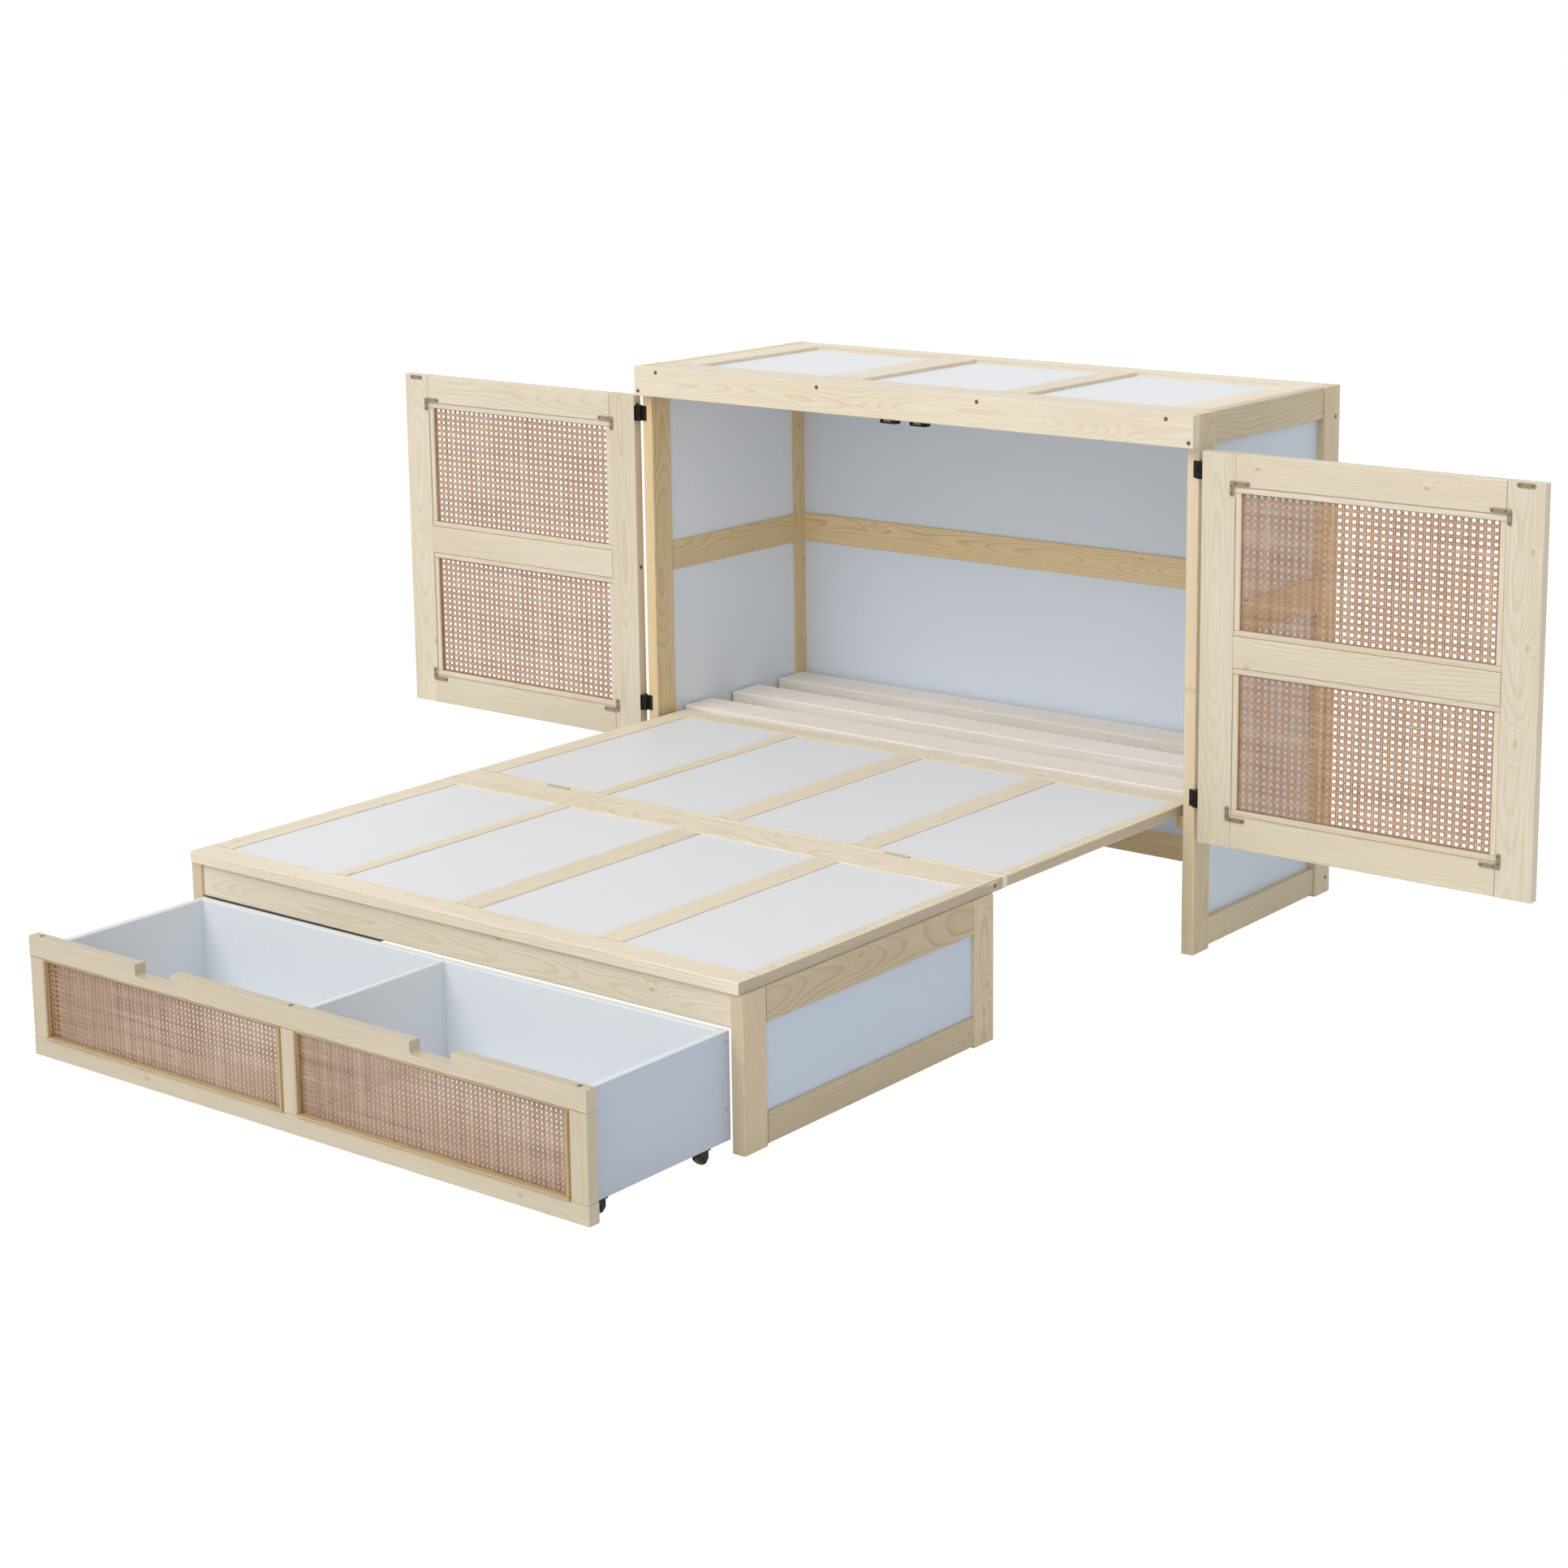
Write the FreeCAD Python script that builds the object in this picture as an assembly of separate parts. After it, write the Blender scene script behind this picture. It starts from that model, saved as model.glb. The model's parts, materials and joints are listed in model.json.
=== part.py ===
import FreeCAD, Part
import math
import os
from FreeCAD import Vector

# Cabinet bed, standing open: a pine cabinet with two caned doors, a two-part platform
# that rests on a base and on the cabinet's ledgers, and a drawer on casters in the base.
# Millimetres. X runs across the bed, Y from the foot of the bed to the cabinet's back, Z up.
# The sizes below count Y from the front face of the fascia. Every piece is moved at the end,
# so that the origin lies on the floor under the middle of the whole open bed.

# ---- cabinet ----
CAB_W = 1460.0
CAB_D = 596.0
CAB_H = 1110.0
POST_T = 28.0
POST_W = 64.0
FASCIA_T = 25.0
FASCIA_H = 66.0
SIDE_RAIL_T = 24.0
SIDE_RAIL_TOP_H = 66.0
SIDE_RAIL_MID_H = 68.0
SIDE_RAIL_MID_Z = 634.0
SIDE_RAIL_LOW_H = 58.0
SIDE_RAIL_LOW_Z = 5.0
SIDE_PANEL_T = 5.0
SIDE_PANEL_IN = 5.0
BACK_RAIL_T = 20.0
BACK_RAIL_IN = 9.0
BACK_RAIL_TOP_H = 60.0
BACK_RAIL_LOW_Z = 11.0
BACK_PANEL_T = 5.0
BACK_PANEL_IN = 6.0
ROUND = 3.0
EDGE = 1.5

# ---- cabinet top ----
TOP_T = 18.0
TOP_FRONT_RAIL_W = 75.0
TOP_REAR_RAIL_W = 64.0
TOP_END_RAIL_W = 75.0
TOP_DIVIDER_LEFT_W = 94.0
TOP_DIVIDER_RIGHT_W = 64.0
TOP_BOARD_T = 6.0
TOP_BOARD_DROP = 8.0

# ---- ledgers and slats ----
LEDGER_W = 26.0
LEDGER_H = 27.0
LEDGER_START = 45.0
SLAT_W = 94.0
SLAT_T = 28.0
SLAT_COUNT = 3
SLAT_FIRST_Y = 119.0
SLAT_LAST_GAP = 10.0
SLAT_END_GAP = 1.0

# ---- doors ----
DOOR_T = 24.0
DOOR_BOTTOM_Z = 245.0
DOOR_TOP_GAP = 3.0
DOOR_MEET_GAP = 2.0
DOOR_STILE_W = 76.5
DOOR_TOP_RAIL_H = 65.0
DOOR_MID_RAIL_H = 64.0
DOOR_LOW_RAIL_H = 67.0
DOOR_MID_RAIL_Z = 614.0
BEAD_W = 12.5
BEAD_T = 7.0
BEAD_SINK = 2.0
CANE_T = 2.0
CANE_ACROSS = 5
CANE_UP = 3
CANE_BAR = 30.0
HINGE_OUT = 7.0
HINGE_IN = 18.0
HINGE_H = 34.0
HINGE_R = 4.8
HINGE_PIN_R = 2.0
HINGE_LEAF_T = 1.8
HINGE_LEAF_W = 22.0
HINGE_WEB_T = 7.0
HINGE_DOWN = 57.0
HINGE_UP = 70.0
HINGE_GAP = 0.4
RUN_FIT = 0.06
BRACE_T = 3.0
BRACE_W = 8.5
BRACE_LEN_X = 44.0
BRACE_LEN_Z = 30.0
BRACE_OFF = 3.0
STRIKE_W = 38.0
STRIKE_H = 9.0
STRIKE_T = 1.5
STRIKE_IN = 19.0
STRIKE_DOWN = 2.0
CATCH_W = 40.0
CATCH_D = 20.0
CATCH_H = 34.0
CATCH_HANG = 13.0
CATCH_SLOT_H = 5.0
CATCH_SLOT_D = 3.0

# ---- platform ----
PLAT_SIDE_GAP = 15.0
PLAT_T = 23.0
PLAT_TOP_Z = 307.0
PLAT_FRONT_Y = -1362.0
PLAT_REAR_Y = 100.0
FOLD_Y = -590.0
FOLD_GAP = 1.0
FOLD_RISE = 0.5
PLAT_FRONT_RAIL_W = 57.0
PLAT_MID_RAIL_W = 98.0
PLAT_LIP_RAIL_W = 15.0
PLAT_REAR_RAIL_W = 53.0
PLAT_LEFT_RAIL_W = 53.0
PLAT_RIGHT_RAIL_W = 27.0
PLAT_DIVIDERS = (34.0, 66.0, 61.0)
PLAT_BOARD_T = 9.0
PLAT_BOARD_DROP = 2.0
PLAT_SEAT_GAP = 0.3
FOLD_HINGE_X = (-440.0, 440.0)
FOLD_HINGE_LEN = 60.0
FOLD_HINGE_R = 2.4
FOLD_PIN_R = 1.0
FOLD_LEAF_T = 1.2
FOLD_LEAF_H = 16.0
FOLD_CLEAR = 0.4

# ---- base ----
BASE_OVER = 5.0
BASE_FRONT_Y = -1357.0
BASE_REAR_Y = -626.0
LEG_T = 28.0
LEG_W = 63.0
BASE_RAIL_T = 20.0
BASE_TOP_RAIL_H = 64.0
BASE_LOW_RAIL_H = 57.0
BASE_LOW_RAIL_Z = 4.0
BASE_PANEL_T = 5.0
BASE_PANEL_IN = 6.0
APRON_T = 20.0
APRON_H = 62.0
APRON_IN = 5.0

# ---- drawer ----
DRAWER_END_GAP = 0.5
DRAWER_FRONT_Y = -1744.0
DRAWER_FRONT_T = 25.0
DRAWER_FRONT_Z = 5.0
DRAWER_FRONT_H = 229.0
DRAWER_TOP_RAIL_H = 39.0
DRAWER_LOW_RAIL_H = 36.0
DRAWER_END_STILE_W = 39.0
DRAWER_MID_STILE_W = 34.0
DRAWER_BEAD_W = 9.0
DRAWER_BEAD_PROUD = 4.0
DRAWER_BEAD_T = 11.0
NOTCH_W = 96.0
NOTCH_DEPTH = 22.0
NOTCH_ROUND = 5.0
NOTCH_X = 346.0
BOX_SIDE_GAP = 3.0
BOX_SIDE_T = 15.0
BOX_BACK_T = 15.0
BOX_DIVIDER_T = 13.0
BOX_TOP_Z = 219.0
BOX_LOW_Z = 24.0
BOX_FLOOR_Z = 30.0
BOX_FLOOR_T = 6.0
WHEEL_R = 10.5
WHEEL_W = 12.0
AXLE_R = 2.0
FORK_T = 2.0
FORK_W = 22.0
FORK_LEN = 34.0
FORK_OVER_FLOOR = 2.0
FORK_GAP = 0.6
FORK_PLATE_T = 2.0
CASTER_IN = 1.0
CASTER_FRONT_IN = 38.0
CASTER_REAR_IN = 68.0

# ---- bolts ----
BOLT_R = 4.0
BOLT_LEN = 36.0
BOLT_FIT = 0.1
BOLT_SINK = 1.5
FASCIA_BOLT_IN = 63.0
FASCIA_BOLT_BAY = 457.0
FASCIA_BOLT_DOWN = 11.0
CORNER_BOLT_IN = 10.0
CORNER_BOLT_UP = 11.0
POST_BOLT_IN = 5.0
DOOR_BOLT_DOWN = 22.0
DRAWER_BOLT_IN = 24.0

# ---- places that follow from the sizes ----
HALF = CAB_W / 2
INNER_X = HALF - POST_T
FASCIA_Z = CAB_H - FASCIA_H
POST_Y0 = FASCIA_T
POST_Y1 = POST_Y0 + POST_W
REAR_POST_Y0 = CAB_D - POST_W
SIDE_RAIL_OUT = INNER_X + SIDE_RAIL_T
BACK_RAIL_Y1 = CAB_D - BACK_RAIL_IN
BACK_RAIL_Y0 = BACK_RAIL_Y1 - BACK_RAIL_T
TOP_Z0 = CAB_H - TOP_T
HINGE_X = HALF + HINGE_OUT
DOOR_X0 = 2 * HINGE_X - HALF
DOOR_W = HALF - DOOR_MEET_GAP / 2
DOOR_X1 = DOOR_X0 + DOOR_W
DOOR_Y0 = 2 * HINGE_IN - DOOR_T
DOOR_Y1 = 2 * HINGE_IN
DOOR_TOP_Z = FASCIA_Z - DOOR_TOP_GAP
HINGE_TOP_Z = DOOR_TOP_Z - HINGE_DOWN
HINGE_LOW_Z = DOOR_BOTTOM_Z + HINGE_UP
PLAT_LOW_Z = PLAT_TOP_Z - PLAT_T
PLAT_HALF = INNER_X - PLAT_SIDE_GAP
LEDGER_TOP_Z = PLAT_LOW_Z - PLAT_SEAT_GAP
FOLD_Z = PLAT_TOP_Z + FOLD_RISE
BASE_HALF = PLAT_HALF + BASE_OVER
LEG_IN_X = BASE_HALF - LEG_T
BASE_TOP_Z = PLAT_LOW_Z
DRAWER_HALF = BASE_HALF - DRAWER_END_GAP
DRAWER_BACK_Y = DRAWER_FRONT_Y + DRAWER_FRONT_T
DRAWER_TOP_Z = DRAWER_FRONT_Z + DRAWER_FRONT_H
BOX_HALF = LEG_IN_X - BOX_SIDE_GAP
BOX_REAR_Y = BASE_FRONT_Y
ORIGIN_Y = (CAB_D + DRAWER_FRONT_Y - DRAWER_BEAD_PROUD) / 2

AXES = {"x": Vector(1, 0, 0), "y": Vector(0, 1, 0), "z": Vector(0, 0, 1)}
NODES = {}


def add(node, *shapes):
    """Put solids into the node of that name."""
    for shape in shapes:
        NODES.setdefault(node, []).extend(shape.Solids)


def bar(x, y, z, along=None, ease=0.0):
    """A block between two corners, its four edges along one axis eased: rounded if they can be seen so."""
    block = Part.makeBox(x[1] - x[0], y[1] - y[0], z[1] - z[0], Vector(x[0], y[0], z[0]))
    if along is None or ease <= 0:
        return block
    edges = [e for e in block.Edges if abs(e.tangentAt(0).dot(AXES[along])) > 0.99]
    if ease > EDGE:
        return block.makeFillet(ease, edges)
    return block.makeChamfer(ease, edges)


def rod(center, axis, radius, length):
    """A round bar that starts at center and runs along an axis."""
    return Part.makeCylinder(radius, length, Vector(*center), axis)


def mirrored(shape):
    """The same piece on the other side of the bed."""
    return shape.mirror(Vector(0, 0, 0), Vector(1, 0, 0))


def pair(shape):
    """A piece and its mirror image."""
    return [shape, mirrored(shape)]


def on_side(shape, side):
    """The piece for the right side, or its mirror image for the left."""
    return shape if side > 0 else mirrored(shape)


def bolt(head, direction):
    """A bolt: a plain cylinder from its head into the wood."""
    return rod(head, direction, BOLT_R - BOLT_FIT, BOLT_LEN)


def bolt_hole(mouth, direction):
    """The hole that a bolt sits in, from the wood's face to the end of the shank."""
    start = Vector(*mouth) - direction
    return rod((start.x, start.y, start.z), direction, BOLT_R, BOLT_LEN + BOLT_SINK + 1)


def bolt_places(faces):
    """Bolt heads sunk under the faces, and the holes for them."""
    bolts = []
    holes = []
    for mouth, direction in faces:
        head = Vector(*mouth) + direction * BOLT_SINK
        bolts.append(bolt((head.x, head.y, head.z), direction))
        holes.append(bolt_hole(mouth, direction))
    return bolts, holes


def drilled(shape, holes):
    """The piece with every hole that reaches it cut out."""
    for hole in holes:
        if shape.BoundBox.intersect(hole.BoundBox):
            shape = shape.cut(hole)
    return shape


def frame_spans(start, end, widths):
    """Split a length into equal bays between bars of the given widths."""
    bay = (end - start - sum(widths)) / (len(widths) + 1)
    bays = []
    bars = []
    at = start
    for width in widths:
        bays.append((at, at + bay))
        bars.append((at + bay, at + bay + width))
        at += bay + width
    bays.append((at, end))
    return bays, bars


# ---------------------------------------------------------------- cabinet

def cabinet_bolt_faces():
    """Mouths and directions of the cabinet's bolts."""
    into = AXES["y"]
    faces = []
    outer = HALF - FASCIA_BOLT_IN
    for side in (-1, 1):
        for x in (outer, outer - FASCIA_BOLT_BAY):
            faces.append(((side * x, 0.0, CAB_H - FASCIA_BOLT_DOWN), into))
        faces.append(((side * (HALF - CORNER_BOLT_IN), 0.0, FASCIA_Z + CORNER_BOLT_UP), into))
    return faces


def make_posts(holes):
    front = bar((INNER_X, HALF), (POST_Y0, POST_Y1), (0, CAB_H), "z", ROUND)
    rear = bar((INNER_X, HALF), (REAR_POST_Y0, CAB_D), (0, CAB_H), "z", EDGE)
    for name, side in (("left", -1), ("right", 1)):
        add("post_front_" + name, drilled(on_side(front, side), holes))
        add("post_rear_" + name, on_side(rear, side))


def make_side_frames():
    spans = ((SIDE_RAIL_LOW_Z, SIDE_RAIL_LOW_H),
             (SIDE_RAIL_MID_Z, SIDE_RAIL_MID_H),
             (CAB_H - SIDE_RAIL_TOP_H, SIDE_RAIL_TOP_H))
    panel_x = (INNER_X + SIDE_PANEL_IN, INNER_X + SIDE_PANEL_IN + SIDE_PANEL_T)
    for name, side in (("left", -1), ("right", 1)):
        for z, height in spans:
            rail = bar((INNER_X, SIDE_RAIL_OUT), (POST_Y1, REAR_POST_Y0), (z, z + height), "y", EDGE)
            add("side_rails_" + name, on_side(rail, side))
        for low, high in zip(spans[:-1], spans[1:]):
            panel = bar(panel_x, (POST_Y1, REAR_POST_Y0), (low[0] + low[1], high[0]))
            add("side_panels_" + name, on_side(panel, side))


def make_back():
    y = (BACK_RAIL_Y0, BACK_RAIL_Y1)
    spans = ((BACK_RAIL_LOW_Z, SIDE_RAIL_LOW_H),
             (SIDE_RAIL_MID_Z, SIDE_RAIL_MID_H),
             (TOP_Z0 - BACK_RAIL_TOP_H, BACK_RAIL_TOP_H))
    for z, height in spans:
        add("back_rails", bar((-INNER_X, INNER_X), y, (z, z + height), "x", EDGE))
    panel_y = (BACK_RAIL_Y0 + BACK_PANEL_IN, BACK_RAIL_Y0 + BACK_PANEL_IN + BACK_PANEL_T)
    for low, high in zip(spans[:-1], spans[1:]):
        add("back_panels", bar((-INNER_X, INNER_X), panel_y, (low[0] + low[1], high[0])))


def make_top(holes):
    front = (FASCIA_T, FASCIA_T + TOP_FRONT_RAIL_W)
    rear = (CAB_D - TOP_REAR_RAIL_W, CAB_D)
    z = (TOP_Z0, CAB_H)
    mid_y = (front[1], rear[0])
    ends = (-INNER_X + TOP_END_RAIL_W, INNER_X - TOP_END_RAIL_W)
    bays, bars = frame_spans(ends[0], ends[1], (TOP_DIVIDER_LEFT_W, TOP_DIVIDER_RIGHT_W))
    add("top_frame", drilled(bar((-INNER_X, INNER_X), front, z, "x", EDGE), holes))
    add("top_frame", bar((-INNER_X, INNER_X), rear, z, "x", EDGE))
    for x in [(-INNER_X, ends[0])] + bars + [(ends[1], INNER_X)]:
        add("top_frame", bar(x, mid_y, z, "y", EDGE))
    board_z = (CAB_H - TOP_BOARD_DROP - TOP_BOARD_T, CAB_H - TOP_BOARD_DROP)
    for x in bays:
        add("top_boards", bar(x, mid_y, board_z))
    fascia = bar((-HALF, HALF), (0, FASCIA_T), (FASCIA_Z, CAB_H), "x", EDGE)
    add("top_fascia", drilled(fascia, holes))


def make_ledgers_and_slats():
    ledger = bar((INNER_X - LEDGER_W, INNER_X), (LEDGER_START, BACK_RAIL_Y0),
                 (LEDGER_TOP_Z - LEDGER_H, LEDGER_TOP_Z), "y", EDGE)
    add("side_ledgers", *pair(ledger))
    last = BACK_RAIL_Y0 - SLAT_LAST_GAP - SLAT_W
    step = (last - SLAT_FIRST_Y) / (SLAT_COUNT - 1)
    half = INNER_X - SLAT_END_GAP
    for i in range(SLAT_COUNT):
        y = SLAT_FIRST_Y + i * step
        slat = bar((-half, half), (y, y + SLAT_W), (LEDGER_TOP_Z, LEDGER_TOP_Z + SLAT_T), "x", EDGE)
        add("slats", slat)


def make_catches():
    """Magnet catches on the back of the fascia, a shallow slot in each for the magnet."""
    x0 = DOOR_MEET_GAP / 2 + STRIKE_IN - (CATCH_W - STRIKE_W) / 2
    body = bar((x0, x0 + CATCH_W), (FASCIA_T, FASCIA_T + CATCH_D),
               (FASCIA_Z - CATCH_HANG, FASCIA_Z - CATCH_HANG + CATCH_H), "x", EDGE)
    slot_z = FASCIA_Z - CATCH_HANG + (CATCH_HANG - CATCH_SLOT_H) / 2
    slot = bar((x0 + CATCH_SLOT_D, x0 + CATCH_W - CATCH_SLOT_D),
               (FASCIA_T - 1, FASCIA_T + CATCH_SLOT_D), (slot_z, slot_z + CATCH_SLOT_H))
    add("magnet_catches", *pair(body.cut(slot)))


def hinge_thirds(z):
    """The three knuckle heights of a door hinge."""
    third = HINGE_H / 3
    return [(z + i * third + (HINGE_GAP / 2 if i else 0),
             z + (i + 1) * third - (HINGE_GAP / 2 if i < 2 else 0)) for i in range(3)]


def knuckle(z, toward):
    """A hinge knuckle with the web that joins it to its leaf, on the right door's axis."""
    barrel = rod((HINGE_X, HINGE_IN, z[0]), AXES["z"], HINGE_R, z[1] - z[0])
    reach = sorted((HINGE_X, toward))
    web = bar((reach[0], reach[1]), (HINGE_IN - HINGE_WEB_T / 2, HINGE_IN + HINGE_WEB_T / 2), z)
    return barrel.fuse(web)


def cabinet_hinge(z):
    """The leaf on the post's outer face, two knuckles and the pin."""
    leaf_x = (HALF, HALF + HINGE_LEAF_T)
    leaf_y = (FASCIA_T + HINGE_GAP, FASCIA_T + HINGE_GAP + HINGE_LEAF_W)
    leaf = bar(leaf_x, leaf_y, (z, z + HINGE_H))
    reach = bar(leaf_x, (HINGE_IN - HINGE_WEB_T / 2, leaf_y[1]), (z, z + HINGE_H))
    low, middle, high = hinge_thirds(z)
    shape = leaf.fuse([reach, knuckle(low, HALF + HINGE_LEAF_T / 2), knuckle(high, HALF + HINGE_LEAF_T / 2)])
    pin = rod((HINGE_X, HINGE_IN, z), AXES["z"], HINGE_PIN_R, HINGE_H)
    return shape.fuse(pin).removeSplitter()


def door_hinge(z):
    """The leaf on the door's edge with the middle knuckle, bored for the pin."""
    leaf = bar((DOOR_X0 - HINGE_LEAF_T, DOOR_X0), (DOOR_Y0, DOOR_Y1), (z, z + HINGE_H))
    middle = hinge_thirds(z)[1]
    shape = leaf.fuse(knuckle(middle, DOOR_X0 - HINGE_LEAF_T / 2))
    bore = rod((HINGE_X, HINGE_IN, z), AXES["z"], HINGE_PIN_R + RUN_FIT, HINGE_H)
    return shape.cut(bore).removeSplitter()


def make_cabinet():
    bolts, holes = bolt_places(cabinet_bolt_faces())
    make_posts(holes)
    make_side_frames()
    make_back()
    make_top(holes)
    make_ledgers_and_slats()
    make_catches()
    add("cabinet_bolts", *bolts)
    for z in (HINGE_LOW_Z, HINGE_TOP_Z):
        add("cabinet_hinge_leaves", *pair(cabinet_hinge(z)))


# ---------------------------------------------------------------- doors

def door_bays():
    """Heights of the door's two caned openings."""
    low = (DOOR_BOTTOM_Z + DOOR_LOW_RAIL_H, DOOR_MID_RAIL_Z)
    high = (DOOR_MID_RAIL_Z + DOOR_MID_RAIL_H, DOOR_TOP_Z - DOOR_TOP_RAIL_H)
    return low, high


def bead_ring(x, y, z, width):
    """Four strips of moulding round an opening."""
    inner_z = (z[0] + width, z[1] - width)
    return [bar(x, y, (z[0], z[0] + width), "x", EDGE),
            bar(x, y, (z[1] - width, z[1]), "x", EDGE),
            bar((x[0], x[0] + width), y, inner_z, "z", EDGE),
            bar((x[1] - width, x[1]), y, inner_z, "z", EDGE)]


def corner_brace(x, z, dx, dz):
    """A flat L round one corner of an opening; dx and dz point away from the opening."""
    cx = x + dx * (BRACE_OFF + BRACE_W)
    cz = z + dz * (BRACE_OFF + BRACE_W)
    y = (DOOR_Y0 - BRACE_T, DOOR_Y0)
    flat = sorted((cx, cx - dx * BRACE_LEN_X))
    tall = sorted((cx, cx - dx * BRACE_W))
    across = bar(flat, y, sorted((cz, cz - dz * BRACE_W)))
    up = bar(tall, y, sorted((cz, cz - dz * BRACE_LEN_Z)))
    shape = across.fuse(up).removeSplitter()
    edges = [e for e in shape.Edges if abs(e.tangentAt(0).dot(AXES["y"])) > 0.99]
    return shape.makeChamfer(BRACE_W / 4, edges)


def cane_sheet(x, y, z):
    """A sheet of cane behind its beads, its weave drawn as a plain grid of openings."""
    sheet = bar(x, y, z)
    seen_x = (x[0] + BEAD_W, x[1] - BEAD_W)
    seen_z = (z[0] + BEAD_W, z[1] - BEAD_W)
    across, _ = frame_spans(seen_x[0], seen_x[1], [CANE_BAR] * (CANE_ACROSS - 1))
    up, _ = frame_spans(seen_z[0], seen_z[1], [CANE_BAR] * (CANE_UP - 1))
    openings = [bar(i, (y[0] - 1, y[1] + 1), k) for i in across for k in up]
    return sheet.cut(openings)


def make_door(name, side):
    y = (DOOR_Y0, DOOR_Y1)
    z = (DOOR_BOTTOM_Z, DOOR_TOP_Z)
    stiles = ((DOOR_X0, DOOR_X0 + DOOR_STILE_W), (DOOR_X1 - DOOR_STILE_W, DOOR_X1))
    open_x = (stiles[0][1], stiles[1][0])
    bolts, holes = bolt_places([((DOOR_X0, DOOR_Y1 - DOOR_T / 2, zb), AXES["x"])
                                for zb in (DOOR_TOP_Z - DOOR_BOLT_DOWN, DOOR_MID_RAIL_Z + DOOR_MID_RAIL_H / 2)])
    for x in stiles:
        add(name + "_stiles", on_side(drilled(bar(x, y, z, "z", EDGE), holes), side))
    for span in ((z[0], z[0] + DOOR_LOW_RAIL_H),
                 (DOOR_MID_RAIL_Z, DOOR_MID_RAIL_Z + DOOR_MID_RAIL_H),
                 (z[1] - DOOR_TOP_RAIL_H, z[1])):
        add(name + "_rails", on_side(drilled(bar(open_x, y, span, "x", EDGE), holes), side))
    bead_y = (DOOR_Y0 + BEAD_SINK, DOOR_Y0 + BEAD_SINK + BEAD_T)
    cane_y = (bead_y[1], bead_y[1] + CANE_T)
    back_y = (cane_y[1], cane_y[1] + BEAD_T)
    for bay in door_bays():
        add(name + "_cane", on_side(cane_sheet(open_x, cane_y, bay), side))
        for strip in bead_ring(open_x, bead_y, bay, BEAD_W) + bead_ring(open_x, back_y, bay, BEAD_W):
            add(name + "_beads", on_side(strip, side))
    low, high = door_bays()
    for dx, x in ((-1, open_x[0]), (1, open_x[1])):
        add(name + "_braces", on_side(corner_brace(x, low[0], dx, -1), side))
        add(name + "_braces", on_side(corner_brace(x, high[1], dx, 1), side))
    strike_x1 = DOOR_X1 - STRIKE_IN
    strike = bar((strike_x1 - STRIKE_W, strike_x1), (DOOR_Y0 - STRIKE_T, DOOR_Y0),
                 (DOOR_TOP_Z - STRIKE_DOWN - STRIKE_H, DOOR_TOP_Z - STRIKE_DOWN), "y", EDGE)
    add(name + "_strike", on_side(strike, side))
    for zh in (HINGE_LOW_Z, HINGE_TOP_Z):
        add(name + "_hinge_leaves", on_side(door_hinge(zh), side))
    add(name + "_bolts", *[on_side(b, side) for b in bolts])


# ---------------------------------------------------------------- platform

def fold_cutter(x):
    """Room in the meeting edges for one fold hinge."""
    length = FOLD_HINGE_LEN + 2 * FOLD_CLEAR
    leaf_y = FOLD_GAP / 2 + FOLD_LEAF_T
    slot = bar((x - length / 2, x + length / 2), (FOLD_Y - leaf_y, FOLD_Y + leaf_y),
               (FOLD_Z - FOLD_LEAF_H, FOLD_Z + FOLD_HINGE_R))
    return slot.fuse(knuckle_room(x - length / 2, length))


def knuckle_room(x0, length):
    """The square room that a fold hinge's knuckle turns in."""
    reach = FOLD_HINGE_R + FOLD_CLEAR
    return bar((x0, x0 + length), (FOLD_Y - reach, FOLD_Y + reach), (FOLD_Z - reach, FOLD_Z + reach))


def fold_hinge(x):
    """The two halves of a fold hinge, one knuckle each: front leaf with the pin, rear leaf bored for it."""
    x0 = x - FOLD_HINGE_LEN / 2
    half = FOLD_HINGE_LEN / 2
    gap = FOLD_CLEAR / 2
    z = (FOLD_Z - FOLD_LEAF_H, FOLD_Z)
    front_y = (FOLD_Y - FOLD_GAP / 2 - FOLD_LEAF_T, FOLD_Y - FOLD_GAP / 2)
    rear_y = (FOLD_Y + FOLD_GAP / 2, FOLD_Y + FOLD_GAP / 2 + FOLD_LEAF_T)
    front_leaf = bar((x0, x0 + FOLD_HINGE_LEN), front_y, z).cut(knuckle_room(x - gap, half + 2 * gap))
    rear_leaf = bar((x0, x0 + FOLD_HINGE_LEN), rear_y, z).cut(knuckle_room(x0 - gap, half + 2 * gap))
    front = front_leaf.fuse([rod((x0, FOLD_Y, FOLD_Z), AXES["x"], FOLD_HINGE_R, half - gap),
                             rod((x0, FOLD_Y, FOLD_Z), AXES["x"], FOLD_PIN_R, FOLD_HINGE_LEN)])
    rear = rear_leaf.fuse(rod((x + gap, FOLD_Y, FOLD_Z), AXES["x"], FOLD_HINGE_R, half - gap))
    bore = rod((x0, FOLD_Y, FOLD_Z), AXES["x"], FOLD_PIN_R + RUN_FIT, FOLD_HINGE_LEN)
    return front.removeSplitter(), rear.cut(bore).removeSplitter()


def mid_bolt_faces():
    """Bolts in both ends of the platform's wide middle rail."""
    y = FOLD_Y - FOLD_GAP / 2 - PLAT_MID_RAIL_W / 4
    z = (PLAT_TOP_Z + PLAT_LOW_Z) / 2
    return [((side * PLAT_HALF, y, z), AXES["x"] * -side) for side in (-1, 1)]


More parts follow.
